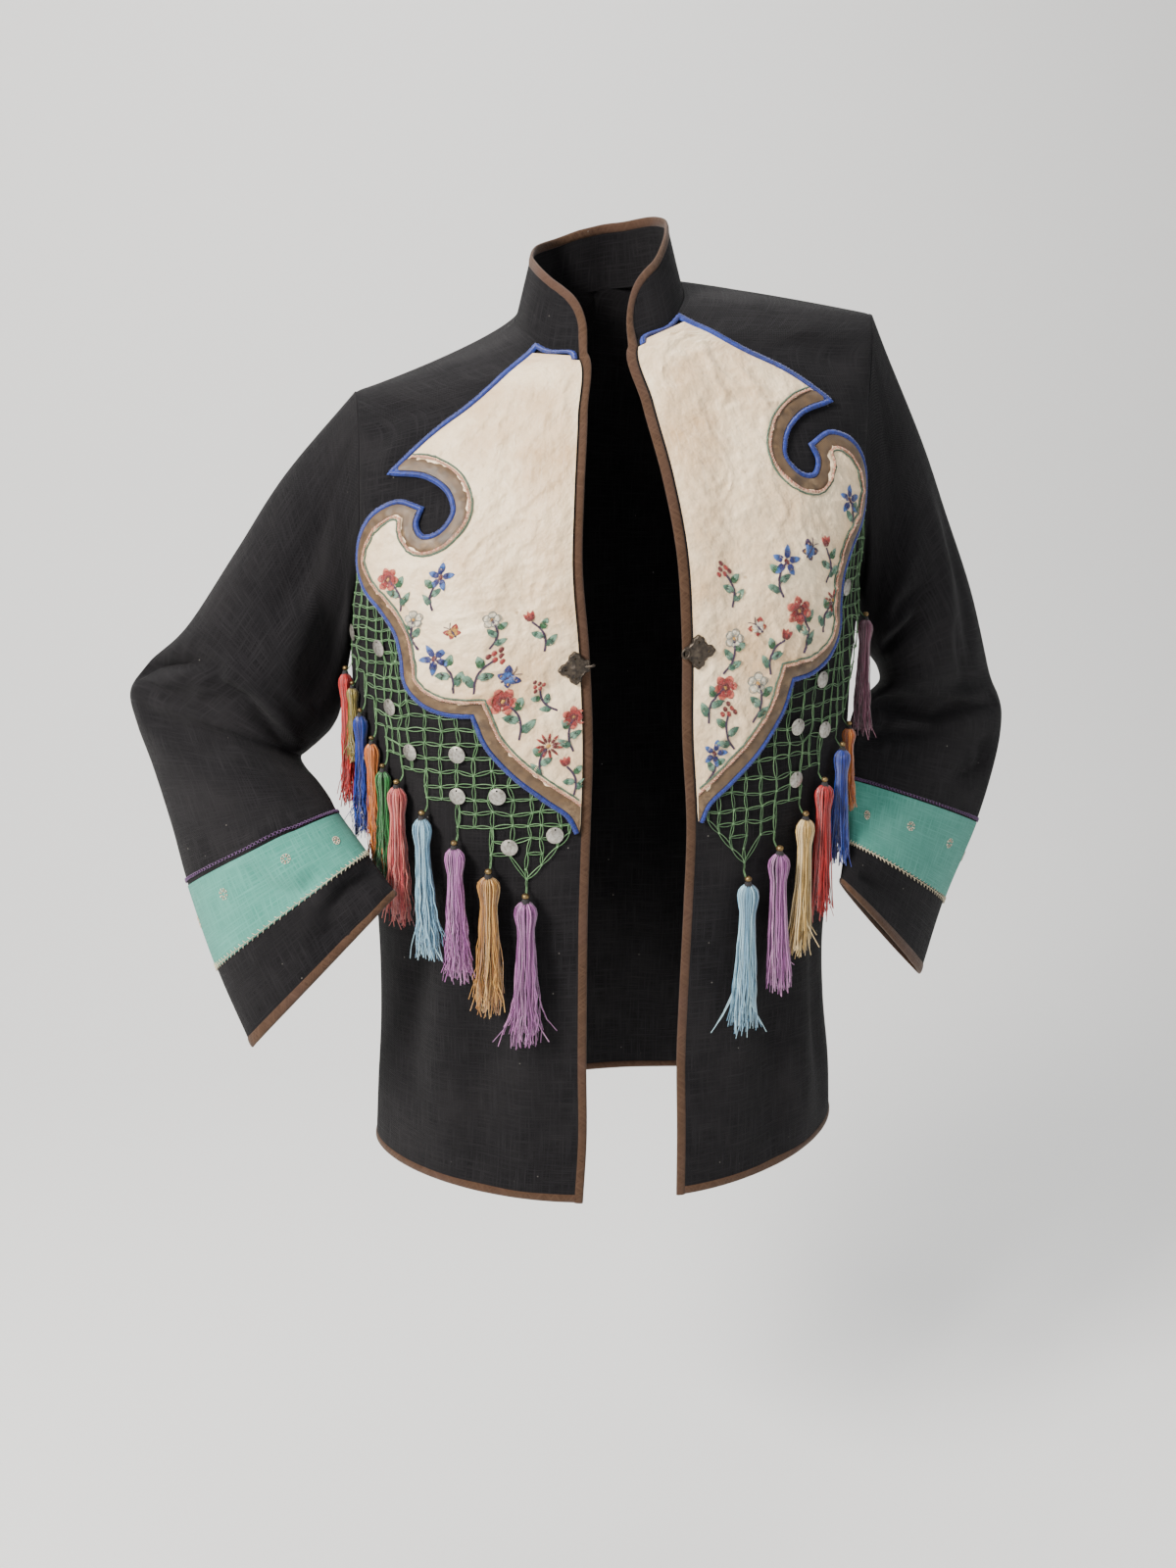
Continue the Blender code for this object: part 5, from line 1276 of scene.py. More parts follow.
def net_strand(row, up):
    """Place across the cloth of an upright strand of the net at one height."""
    foot_up = min(row["foot_front"], row["foot_outer"])
    share = (up - foot_up) / (row["top_up"] - foot_up)
    return row["foot"] + (row["top_across"] - row["foot"]) * share


def foot_at(row, up):
    """The foot of a strand, at one of its heights."""
    return np.array([row["foot"], up])


def net_runs(side, draws):
    """Knots of one net, and the runs of thread between them, all as flat places."""
    rows, knots, runs = net_rows(side), {}, []
    levels = np.arange(NET_LOWEST, NET_HIGHEST, NET_PITCH)
    for i, row in enumerate(rows):
        foot = min(row["foot_front"], row["foot_outer"])
        knots[i, -1] = foot_at(row, foot)
        for k, up in enumerate(levels):
            if foot + NET_PITCH / 3 < up < row["top_up"] - NET_PITCH / 4:
                wander = draws.normal(0, 0.0013, 2)
                knots[i, k] = np.array([net_strand(row, up), up]) + wander
    for i, row in enumerate(rows):
        held = sorted(k for n, k in knots if n == i)
        ladder = [knots[i, k] for k in held] + [np.array([row["top_across"], row["top_up"] + 0.001])]
        runs += list(zip(ladder[:-1], ladder[1:]))
        if i + 1 == len(rows):
            continue
        after = rows[i + 1]
        runs.append((foot_at(row, row["foot_outer"]), foot_at(after, after["foot_front"])))
        lowest = max(row["foot_outer"], after["foot_front"]) + NET_PITCH / 3
        for k, up in enumerate(levels):
            if up < lowest or up > after["top_up"] - NET_PITCH / 4:
                continue
            end = knots.get((i + 1, k))
            if end is None:
                continue
            start = knots.get((i, k))
            if start is None:
                share = np.clip((up - row["top_up"]) / (after["top_up"] - row["top_up"]), 0, 1)
                start = np.array([row["top_across"] + (after["top_across"] - row["top_across"]) * share, up])
            runs.append((start, end))
    for row in rows:
        low, high = sorted((row["foot_front"], row["foot_outer"]))
        if high - low > NET_PITCH / 2:
            runs.append((foot_at(row, low), foot_at(row, high)))
    for strand, *_ in TASSELS[side]:
        row = rows[strand]
        runs.append((foot_at(row, row["foot_front"] - TAIL), foot_at(row, row["foot_front"])))
    return np.array(list(knots.values())), runs


# One row for each tassel: the net strand it hangs from, its length, the radius of its tied
# head and its thread.
TASSELS = {
    "right": ((3, 118, 7.6, "lilac"), (5, 112, 7.4, "gold"),
              (7, 108, 6.8, "lilac"), (9, 112, 6.8, "sky"),
              (11, 112, 6.8, "coral"), (13, 98, 5.6, "green"),
              (14, 106, 5.2, "orange"), (15, 98, 5.2, "blue"),
              (16, 62, 4.6, "olive"), (17, 108, 5.8, "red")),
    "left": ((3, 122, 7.4, "sky"), (5, 116, 7.6, "lilac"),
             (7, 114, 7, "straw"), (9, 110, 6.8, "red"),
             (11, 96, 6.4, "blue"), (13, 70, 5.6, "orange"),
             (17, 96, 6, "mauve")),
}
cotton = silk_thread("net_cotton", roughness=0.75, sheen=0.15, spread=0.45)
# Greens of the net's threads. The left side's are the same greens made darker: painted shade.
NET_GREENS_LEFT_SHADED = {"right": ((0.098, 0.23, 0.085), (0.14, 0.289, 0.119), (0.072, 0.183, 0.064)),
              "left": ((0.072, 0.17, 0.064), (0.111, 0.23, 0.093), (0.051, 0.128, 0.047))}
for side in SIGN:
    knots, runs = net_runs(side, draws)
    lines = []
    share = np.linspace(0, 1, 6)
    for start, end in runs:
        beside_it = to_left(unit(end - start))
        bow = min(BOW, np.linalg.norm(end - start) * 0.1)
        lean = draws.normal(0, 0.00022)
        for way in (-1, 1):
            spread = DRAWN + (bow * draws.uniform(0.7, 1.25) - DRAWN) * np.sin(np.pi * share) ** 0.8
            flat = start + np.outer(share, end - start) \
                + np.outer(way * spread + lean * np.sin(np.pi * share), beside_it)
            lift = NET_LIFT + 0.0002 * way + draws.uniform(-0.0002, 0.0004) * np.sin(np.pi * share)
            lines.append(fronts[side].at(flat, lift)[0])
    colours = tints(NET_GREENS_LEFT_SHADED[side], len(lines), draws)
    threads = corded("net_threads_" + side, lines, colours, cotton, NET_THREAD)
    count = len(knots)
    turned = pointing(draws.uniform(0, math.pi, count))
    ties = sewn("net_knots_" + side, *over_front(side, knots, turned, NET_LIFT + 0.0002),
                np.full(count, 0.0023), tints(NET_GREENS_LEFT_SHADED[side], count, draws), cotton,
                width=0.0016, height=0.0017, uneven=0.15)
    declared(threads, "net", "net_" + side)
    declared(ties, "net")

# ---- The silver discs ---------------------------------------------------------------
# Small discs of thin beaten silver hang on the net, each sewn on through one hole near
# its upper rim. They are slightly domed, dull and scratched.
DISC_RADIUS, DISC_DOME, DISC_WALL, DISC_LIFT = 0.006, 0.0012, 0.0004, 0.0026
DISC_HOLE, DISC_HOLE_UP = 0.0007, 0.0043
DISCS = {
    "right": ((196, 450), (155, 440), (148, 390.5), (131, 356),
              (93.5, 356), (93.5, 324), (65, 324), (56, 285),
              (25, 293)),
    "left": ((112, 380), (88, 351), (116, 344), (86, 314),
             (142, 442)),
}


def worn_metal(name, colour, tarnish, roughness, metallic, scale):
    """Old metal: dull tarnished patches and fine scratches."""
    made, tree, shader = finish_start(name, roughness, metallic=metallic)
    place = add_node(tree, "ShaderNodeTexCoord").outputs["Object"]
    patches = cloudy(tree, place, scale, 6.0, 0.65)
    scratch = cloudy(tree, drawn_out(tree, place, (1.0, 1.0, 9.0)), scale * 2.2, 4.0)
    surfaced(tree, shader, mixed(tree, scaled(tree, patches, 0.4, 0.66), colour, tarnish),
             scaled(tree, scratch, 0.3, 0.7, roughness - 0.12, roughness + 0.2),
             calc(tree, "ADD", patches, calc(tree, "MULTIPLY", scratch, 0.5)), 0.35, 0.0004)
    return made


def joined(name, pieces):
    """Several objects made one."""
    with bpy.context.temp_override(active_object=pieces[0], selected_editable_objects=pieces):
        bpy.ops.object.join()
    pieces[0].name = name
    return pieces[0]


beaten_silver = worn_metal("beaten_silver", (0.46, 0.44, 0.4, 1.0), (0.22, 0.2, 0.17, 1.0),
                           roughness=0.42, metallic=0.8, scale=500.0)
turn = np.linspace(0, 2 * math.pi, 32, endpoint=False)
rim = pointing(turn)
disc_flat, disc_faces = cut_shape(rim * DISC_RADIUS, [rim[::4] * DISC_HOLE + (0.0, DISC_HOLE_UP)], 0.0013)
disc_dome = DISC_DOME * (1 - (np.linalg.norm(disc_flat, axis=1) / DISC_RADIUS) ** 2)
for side in SIGN:
    discs, nodes = [], []
    for number, (across, up) in enumerate(np.array(DISCS[side]) * MM, start=1):
        centre, out = (a[0] for a in fronts[side].at([(across, up)]))
        upward = unit(np.array([0.0, 0.0, 1.0]) - out * out[2])
        sideways = np.cross(upward, out)
        tip = draws.normal(0, 0.06, 2)
        flat = turned_by(disc_flat, tip[0])
        points = centre + np.outer(flat[:, 0], sideways) + np.outer(flat[:, 1], upward) \
            + np.outer(DISC_LIFT + disc_dome + 0.04 * flat[:, 1] * tip[1], out)
        discs.append(walled(f"disc_{side}_{number}_silver", points, np.tile(out, (len(points), 1)),
                            disc_faces, disc_flat, beaten_silver, -DISC_WALL, 0.0))
        nodes.append(f"disc_{side}_{number}")
    plate = joined("discs_" + side, discs)
    declared(plate, "silver", *nodes)

# ---- The silk tassels ---------------------------------------------------------------
# From each point of the net hangs a tassel of floss silk: a brass bead, a neck bound in
# black thread, a round head, and a loose skirt whose uneven ends have begun to fray.
SILKS = {
    "lilac": ((0.347, 0.115, 0.327), (0.482, 0.202, 0.429), (0.23, 0.06, 0.212)),
    "gold": ((0.429, 0.202, 0.039), (0.602, 0.347, 0.099), (0.288, 0.115, 0.02)),
    "sky": ((0.23, 0.429, 0.558), (0.378, 0.602, 0.693), (0.14, 0.307, 0.45)),
    "coral": ((0.558, 0.083, 0.083), (0.715, 0.193, 0.158), (0.378, 0.039, 0.046)),
    "green": ((0.014, 0.149, 0.026), (0.032, 0.249, 0.053), (0.008, 0.075, 0.014)),
    "orange": ((0.482, 0.115, 0.008), (0.625, 0.212, 0.032), (0.327, 0.06, 0.004)),
    "blue": ((0.003, 0.02, 0.249), (0.008, 0.053, 0.378), (0.002, 0.008, 0.123)),
    "olive": ((0.23, 0.175, 0.026), (0.347, 0.268, 0.06), (0.14, 0.099, 0.014)),
    "red": ((0.429, 0.006, 0.006), (0.602, 0.026, 0.02), (0.249, 0.003, 0.004)),
    "straw": ((0.602, 0.408, 0.14), (0.739, 0.558, 0.268), (0.429, 0.268, 0.075)),
    "mauve": ((0.14, 0.036, 0.071), (0.212, 0.068, 0.115), (0.083, 0.02, 0.039)),
}
BEAD_DROP, BEAD_RADIUS, TASSEL_LIFT = 0.0045, 0.0026, 0.0016
HEAD_TOP = 0.0085         # where the silk starts below the tie
STRANDS = 108
USUAL_HEAD = 0.0072       # radius of head that the bead and the bound neck are made for
tassel_silk = silk_thread("tassel_silk", roughness=0.33, sheen=0.35, spread=0.3)
brass = worn_metal("old_brass", (0.3, 0.2, 0.08, 1.0), (0.06, 0.045, 0.03, 1.0),
                   roughness=0.4, metallic=0.85, scale=700.0)
# The head and skirt: drop as a share of the length, and radius as a share of the head's.
TASSEL_FORM = ((0.0, 0.3), (0.025, 0.8), (0.06, 1.12), (0.11, 1.12), (0.16, 0.92), (0.22, 0.76),
               (0.38, 0.88), (0.6, 1.02), (0.8, 1.16), (1.0, 1.32))
cloth_behind = {}
for side in SIGN:
    kept = bpy.data.objects["front_cloth_" + side]
    cloth_behind[side] = BVHTree.FromPolygons([v.co for v in kept.data.vertices],
                                              [tuple(f.vertices) for f in kept.data.polygons])


CLEAR = 0.03              # how far out the search for the cloth behind starts


def kept_off(side, points, outward, space=0.0012):
    """Points moved outwards where they would pass into the cloth behind."""
    moved = points.copy()
    for i, point in enumerate(points):
        hit = cloth_behind[side].ray_cast(Vector(point + outward * CLEAR), Vector(-outward), 2 * CLEAR)
        if hit[0] is not None and hit[3] < CLEAR + space:
            moved[i] = point + outward * (CLEAR + space - hit[3])
    return moved


def tassel(name, side, strand, length, head, colour, draws):
    """One tassel: its tie, bead and bound neck, and all its silk, made one piece."""
    row = net_rows(side)[strand]
    tie, outward = (a[0] for a in fronts[side].at([foot_at(row, row["foot_front"] - TAIL)], NET_LIFT))
    level_out = unit(outward * (1.0, 1.0, 0.0))
    sideways = np.cross(level_out, (0.0, 0.0, 1.0))
    axis = tie + level_out * (head + TASSEL_LIFT - NET_LIFT) * 0.9
    turns = draws.uniform(0, 2 * math.pi, STRANDS)
    inner = np.sqrt(draws.uniform(0.35, 1.0, STRANDS))
    lean = draws.normal(0, 0.05, 2)
    lines, thick = [], []
    drops, radii = np.array(TASSEL_FORM).T
    at = np.concatenate([[0, 0.02, 0.05, 0.09, 0.14, 0.2], np.linspace(0.28, 1.0, 9)])
    for k in range(STRANDS):
        reach = (length - HEAD_TOP) * draws.uniform(0.86, 1.0) * (0.9 if k % 9 == 0 else 1.0)
        loose = np.clip((at - 0.2) / 0.8, 0, 1)
        spread = np.interp(at, drops, radii) * head * np.where(at < 0.22, np.maximum(inner[k], 0.8), inner[k])
        spread = spread * (1 + loose * draws.normal(0, 0.22))
        angle = turns[k] + loose * draws.normal(0, 0.25) \
            + 0.05 * np.sin(at * draws.uniform(14, 30) + draws.uniform(0, 6)) * loose
        wave = loose * 0.0011 * np.sin(at * draws.uniform(12, 34) + draws.uniform(0, 6.3))
        side_move = spread * np.cos(angle) + wave + lean[0] * loose * at * 0.05
        out_move = spread * np.sin(angle) * 0.82 + wave * 0.6
        if draws.uniform() < 0.22:
            curl = np.clip((at - 0.72) / 0.28, 0, 1) ** 1.5
            side_move = side_move + curl * draws.normal(0, 0.006)
            out_move = out_move + curl * abs(draws.normal(0, 0.003))
        line = axis + np.outer(side_move, sideways) + np.outer(out_move, level_out)
        line[:, 2] -= HEAD_TOP + at * reach
        lines.append(kept_off(side, line, level_out))
        thick.append(np.where(at > 0.85, 0.75, 1.0) * draws.uniform(0.7, 1.2))
    silk = corded(name + "_silk", lines, tints(SILKS[colour], STRANDS, draws, 0.2), tassel_silk,
                  radius=0.00046 * (0.75 + 0.25 * head / 0.007), sides=3, thick=thick)
    neck = []
    for drop in np.arange(0.0065, 0.0112, 0.00055):
        ring = np.linspace(0, 2 * math.pi, 13)
        radius = np.interp(drop, (0.0065, 0.0085, 0.0112), (0.0019, 0.0026, 0.0037)) * head / USUAL_HEAD
        circle = np.outer(np.cos(ring) * radius, sideways) + np.outer(np.sin(ring) * radius, level_out)
        neck.append(axis + circle - np.outer(drop + 0.0003 * ring / math.pi, (0.0, 0.0, 1.0)))
    black = np.tile((0.012, 0.01, 0.012, 1.0), (len(neck), 1))
    bound_neck = corded(name + "_neck", neck, black, cotton, radius=0.00036, sides=4)
    fall = np.linspace(0, 1, 5)[:, None]
    cord = tie + (axis - tie) * fall ** 1.5 - np.outer(fall * BEAD_DROP * 1.6, (0.0, 0.0, 1.0))
    hung = corded(name + "_tie", [cord + sideways * 0.0004, cord - sideways * 0.0004],
                  tints(NET_GREENS_LEFT_SHADED[side], 2, draws), cotton, NET_THREAD, sides=4)
    bead = bpy.data.meshes.new(name + "_bead")
    work = bmesh.new()
    bmesh.ops.create_uvsphere(work, u_segments=12, v_segments=8, radius=BEAD_RADIUS * head / USUAL_HEAD)
    for vertex in work.verts:
        vertex.co = Vector(axis) + Vector((*vertex.co.xy, vertex.co.z * 0.8 - BEAD_DROP))
    work.to_mesh(bead)
    work.free()
    bead.shade_smooth()
    bead.materials.append(brass)
    return joined(name + "_floss", [silk, bound_neck, hung, shown(name + "_bead", bead)])


for side in SIGN:
    for number, (strand, length, head, colour) in enumerate(TASSELS[side], start=1):
        node = f"tassel_{side}_{number}"
        hung = tassel(node, side, strand, length * MM, head * MM, colour, draws)
        declared(hung, "thread_" + colour, node)

# ---- The clasps ---------------------------------------------------------------------
# A lobed plate of dark cast bronze is sewn to each front edge through small holes. One
# carries a hook and the other an eye, and both are shown undone.
CLASP_ACROSS, CLASP_UP = 0.0105, 0.4125
CLASP_RADIUS, CLASP_LOBE = 0.01, 0.0018
CLASP_LIFT, CLASP_WALL = 0.0032, 0.0008
bronze = worn_metal("dark_bronze", (0.085, 0.068, 0.052, 1.0), (0.03, 0.026, 0.024, 1.0),
                    roughness=0.42, metallic=0.85, scale=420.0)
turn = np.linspace(0, 2 * math.pi, 96, endpoint=False)
lobes = CLASP_RADIUS + CLASP_LOBE * np.cos(4 * turn) - 0.0007 * np.abs(np.sin(8 * turn)) ** 3
clasp_border = pointing(turn) * lobes[:, None] + (CLASP_ACROSS, CLASP_UP)
clasp_border[:, 0] = np.maximum(clasp_border[:, 0], 0.0003)
clasp_holes = [pointing(turn[::8]) * 0.0008 + (CLASP_ACROSS + dx, CLASP_UP + dy)
               for dx, dy in ((0.0066, 0.0), (0.0, 0.0068), (0.0, -0.0068))]
clasp_flat, clasp_faces = cut_shape(clasp_border, clasp_holes, 0.0007)
to_rim = nearest_on(np.vstack([clasp_border, clasp_border[:1]]), clasp_flat)[0]
from_centre = np.linalg.norm(clasp_flat - (CLASP_ACROSS, CLASP_UP), axis=1)
petal = np.cos(4 * np.arctan2(clasp_flat[:, 1] - CLASP_UP, clasp_flat[:, 0] - CLASP_ACROSS))
relief = 0.001 * np.sqrt(np.clip(to_rim / 0.0012, 0, 1)) \
    + 0.0005 * np.exp(-((to_rim - 0.0011) / 0.0004) ** 2) \
    + 0.0012 * np.exp(-(from_centre / 0.0026) ** 2) + 0.0004 * petal * np.clip(from_centre / 0.006, 0, 1)
for side in SIGN:
    plate = laid_on("clasp_plate_" + side, side, clasp_flat, clasp_faces, bronze,
                    -CLASP_WALL, 0.0, CLASP_LIFT + relief)
    share = np.linspace(0, 1, 14)
    if side == "right":
        hook = np.stack([0.004 - 0.0058 * np.sin(share * math.pi * 0.62), np.full(14, CLASP_UP)], -1)
        lift = 0.0042 + 0.0022 * np.sin(share * math.pi)
    else:
        sweep = np.linspace(0, 2 * math.pi, 14)
        hook = np.stack([0.0015 + 0.0026 * np.cos(sweep), CLASP_UP + 0.003 * np.sin(sweep)], -1)
        lift = np.full(14, 0.0047)
    (before, centre, after), out = fronts[side].at([(across, CLASP_UP) for across in (0.002, 0.004, 0.006)])
    line = centre + np.outer(hook[:, 0] - 0.004, unit(after - before)) \
        + np.outer(hook[:, 1] - CLASP_UP, (0.0, 0.0, 1.0)) + np.outer(lift, out[1])
    wire = corded("clasp_wire_" + side, [line], [(0.02, 0.02, 0.02, 1.0)], bronze, radius=0.0009, sides=8)
    clasp = joined("clasp_bronze_" + side, [plate, wire])
    declared(clasp, "bronze", "clasp_" + side)

# ---- The embroidery -----------------------------------------------------------------
# Small sprigs of flowers, leaves and berries, with a few butterflies, are worked in floss
# silk low on each yoke: petals in long-and-short stitch, stems in stem stitch.
PITCH = 0.00044           # space between threads laid side by side
DEEP_BLUE, PALE_BLUE = (0.004, 0.012, 0.13), (0.035, 0.11, 0.36)
RED, CORAL, PALE_PINK = (0.11, 0.002, 0.003), (0.28, 0.018, 0.014), (0.5, 0.1, 0.06)
SAGE, PALE_SAGE, LEAF = (0.035, 0.115, 0.07), (0.13, 0.26, 0.18), (0.01, 0.085, 0.022)
PURPLE, GOLD, GREY, CREAM = (0.028, 0.003, 0.042), (0.52, 0.26, 0.03), (0.2, 0.22, 0.2), (0.66, 0.6, 0.47)


def stitch(stitches, at, angle, length, colour):
    """One straight stitch about its middle."""
    stitches.append((*at, angle, length, *colour))


def petal(stitches, root, heading, length, width, inner, outer):
    """Long-and-short stitch over a petal: one colour at its root and another at its tip."""
    forward = pointing(heading)
    aside = to_left(forward)

    def breadth(share):
        return width * np.sin(np.pi * share ** 0.72) ** 0.85

    for offset in np.linspace(-0.5, 0.5, max(3, round(width / PITCH))):
        middle = 0.5 + draws.uniform(-0.1, 0.1)
        edge = 0.1 * (2 * abs(offset)) ** 2
        for start, stop, colour in ((0.06 + edge, middle + 0.06, inner), (middle - 0.06, 0.97 - edge, outer)):
            first, last = (root + forward * length * s + aside * offset * breadth(s) for s in (start, stop))
            span = last - first
            angle = math.atan2(span[1], span[0])
            stitch(stitches, (first + last) / 2, angle, np.hypot(*span) * 1.06, colour)


def stem(stitches, points, colour, thick=1):
    """Stem stitch along a curve of points."""
    for strand in range(thick):
        places, headings = spaced(smooth_run(points, 0.0008), 0.0011)
        for place, heading in zip(places, headings):
            beside_it = to_left(heading) * (strand - (thick - 1) / 2) * PITCH * 1.1
            stitch(stitches, place + beside_it, math.atan2(heading[1], heading[0]) + 0.14, 0.0022, colour)


def dot(stitches, centre, radius, colour, heading=0.6):
    """A small round filled with threads laid side by side."""
    count = max(3, round(2 * radius / PITCH))
    for offset in (np.arange(count) + 0.5) / count * 2 - 1:
        aside = to_left(pointing(heading)) * offset * radius
        length = 2 * radius * math.sqrt(1 - offset * offset * 0.9)
        stitch(stitches, centre + aside, heading, length, colour)


def ring_of_petals(stitches, centre, heading, count, start, length, width, inner, outer):
    """Petals set evenly round a centre."""
    for k in range(count):
        turned = heading + k * 2 * math.pi / count + draws.normal(0, 0.05)
        petal(stitches, centre + start * pointing(turned), turned,
              length * draws.uniform(0.9, 1.1), width, inner, outer)


def bloom(stitches, kind, centre, heading, size):
    """The flower, bud or berries at the end of a sprig."""
    if kind == "star":
        ring_of_petals(stitches, centre, heading, 5, 0.1 * size, size, 0.46 * size, DEEP_BLUE, PALE_BLUE)
        dot(stitches, centre, 0.2 * size, RED)
    elif kind == "rose":
        ring_of_petals(stitches, centre, heading, 6, 0.3 * size, 0.72 * size, 0.66 * size, CORAL, PALE_PINK)
        ring_of_petals(stitches, centre, heading + 0.5, 5, 0.06 * size, 0.5 * size, 0.42 * size, RED, CORAL)
        dot(stitches, centre, 0.14 * size, GOLD)
    elif kind == "plum":
        for k in range(5):
            turned = heading + k * 2 * math.pi / 5
            at = centre + 0.48 * size * pointing(turned)
            dot(stitches, at, 0.27 * size, CREAM, turned)
            stem(stitches, at + 0.3 * size * pointing(np.linspace(0, 2 * math.pi, 13)), GREY)
        dot(stitches, centre, 0.14 * size, GOLD)
    elif kind == "berries":
        bunch = np.array([(0, 0), (0.45, 0.25), (0.42, -0.28), (0.85, 0), (0.1, 0.5), (0.05, -0.5)])
        for k, at in enumerate(centre + size * turned_by(bunch, heading)):
            dot(stitches, at, 0.22 * size, RED if k % 2 else CORAL)
            # A small pale dot off the middle of each berry: a painted highlight.
            dot(stitches, at + 0.05 * size, 0.07 * size, PALE_PINK)
    elif kind == "aster":
        ring_of_petals(stitches, centre, heading, 11, 0.14 * size, 0.85 * size, 0.17 * size, RED, CORAL)
        dot(stitches, centre, 0.18 * size, GOLD)
    else:
        for lean, colours in ((-0.45, (RED, CORAL)), (0.45, (RED, CORAL)), (0.0, (CORAL, PALE_PINK))):
            petal(stitches, centre, heading + lean, size, 0.42 * size, *colours)


def sprig(stitches, across, up, angle, reach, kind, bend):
    """A curved stem with a few leaves and a flower, bud or berries at its end."""
    heading, foot, reach = math.radians(angle), np.array([across, up]) * MM, reach * MM
    forward = pointing(heading)
    aside = to_left(forward)

    def place(share):
        return foot + forward * reach * share + aside * reach * bend * math.sin(math.pi * share)

    stem(stitches, [place(s) for s in (0, 0.25, 0.5, 0.75, 1)], PURPLE, 3)
    twig = (forward * 0.25 - aside * 0.22 * np.sign(bend)) * reach
    stem(stitches, [place(0.35), place(0.35) + twig], PURPLE)
    leaves = ((0.12, 1.0, 0.46), (0.4, -0.9, 0.4), (0.66, 0.8, 0.36))
    for number, (share, lean, length) in enumerate(leaves):
        turned = heading + lean * np.sign(bend) + draws.normal(0, 0.12)
        colours = ((SAGE, PALE_SAGE), (PALE_SAGE, SAGE), (LEAF, PALE_SAGE))[number]
        petal(stitches, place(share), turned, reach * length * 1.12, reach * 0.23, *colours)
        stem(stitches, [place(share), place(share) + reach * length * 0.8 * pointing(turned)], LEAF)
    bloom(stitches, kind, place(1.0), heading, reach * (0.43 if kind in ("star", "aster") else 0.36))


def butterfly(stitches, across, up, angle, size, wing, rim):
    """A small butterfly with four wings, a dark body and two feelers."""
    heading, centre, size = math.radians(angle), np.array([across, up]) * MM, size * MM
    for lean, length, width in ((0.85, 1.0, 0.62), (-0.85, 1.0, 0.62), (2.1, 0.72, 0.5), (-2.1, 0.72, 0.5)):
        petal(stitches, centre, heading + lean, size * length, size * width, wing, rim)
        dot(stitches, centre + size * length * 0.62 * pointing(heading + lean), size * 0.1, GOLD)
    forward = pointing(heading)
    aside = to_left(forward)
    stem(stitches, [centre - forward * size * 0.45, centre, centre + forward * size * 0.4], PURPLE, 3)
    for way in (-1, 1):
        stem(stitches, [centre + (forward * ahead + aside * way * out) * size
                        for ahead, out in ((0.4, 0), (0.7, 0.12), (0.95, 0.32))], PURPLE)


# One row for each sprig: its foot (across, up), angle, length, what it bears and its bend.
SPRIGS = {
    "right": (
        (13, 322, 76, 22, "bud", 0.16), (34, 336, 98, 24, "aster", -0.18),
        (14, 354, 92, 24, "rose", -0.14), (50, 366, 72, 31, "rose", 0.18),
        (24, 385, 58, 20, "berries", -0.2), (78, 403, 122, 28, "berries", -0.16),
        (92, 404, 66, 30, "star", 0.18), (30, 428, 74, 24, "bud", 0.18),
        (66, 436, 98, 22, "plum", 0.2), (116, 440, 88, 26, "plum", -0.16),
        (128, 474, 70, 27, "rose", 0.16), (102, 472, 104, 24, "star", -0.18)),
    "left": (
        (14, 322, 70, 21, "star", -0.16), (36, 343, 98, 25, "berries", 0.16),
        (50, 360, 84, 27, "plum", -0.18), (18, 363, 64, 26, "rose", 0.18),
        (28, 396, 70, 24, "plum", -0.16), (62, 392, 66, 24, "bud", 0.2),
        (88, 403, 96, 30, "rose", -0.16), (108, 414, 62, 24, "aster", 0.16),
        (36, 440, 104, 24, "berries", -0.18), (72, 444, 82, 25, "star", 0.18),
        (112, 450, 92, 26, "bud", -0.18), (140, 482, 84, 26, "star", -0.14)),
}
BUTTERFLIES = {
    "right": ((56, 412, 150, 10.5, PALE_BLUE, DEEP_BLUE), (88, 452, 60, 8, GOLD, CORAL)),
    "left": ((54, 424, 130, 8.5, CREAM, CORAL), (94, 474, 50, 10, PALE_BLUE, PURPLE)),
}
for side in SIGN:
    stitches = []
    for row in SPRIGS[side]:
        sprig(stitches, *row)
    for row in BUTTERFLIES[side]:
        butterfly(stitches, *row)
    stitches = np.array(stitches)
    on_silk = nearest_on(ribbon_inner, stitches[:, :2])[0] > 0.003
    stitches = stitches[on_silk & within(YOKE_BORDER, stitches[:, :2])]
    shades = opaque(stitches[:, 4:7] * draws.uniform(0.8, 1.2, (len(stitches), 1)))
    worked = sewn("embroidery_" + side, *on_satin(side, stitches[:, :2], pointing(stitches[:, 2]), 0.0003),
                  stitches[:, 3], shades, floss, width=0.0006, height=0.00075, uneven=0.05, seed=5)
    declared(worked, "thread_blue")

# ---- The stitching on the sleeves ---------------------------------------------------
# Purple cross stitch covers each teal band's upper seam and cream feather stitch its lower
# one. Small pink and cream rosettes are worked along the band.
CROSS_STEP, FEATHER_STEP = 0.0031, 0.0024
VIOLET, STRAW = (0.085, 0.022, 0.115), (0.62, 0.55, 0.38)
PINK, PALE, CREAMY = (0.72, 0.36, 0.25), (0.74, 0.62, 0.48), (0.7, 0.6, 0.46)
# Places of the rosettes: share of the band's depth, and turn from the armpit forwards.
ROSETTES = {"right": ((0.4, 0.35), (0.42, 0.217), (0.56, 0.108), (0.5, 0.48), (0.45, 0.61), (0.52, 0.74),
                      (0.48, 0.87), (0.5, 0.98)),
            "left": ((0.42, 0.258), (0.42, 0.375), (0.5, 0.14), (0.47, 0.5), (0.52, 0.63), (0.48, 0.76),
                     (0.5, 0.88), (0.52, 0.02))}
band_thread = silk_thread("band_thread", roughness=0.55, sheen=0.2)


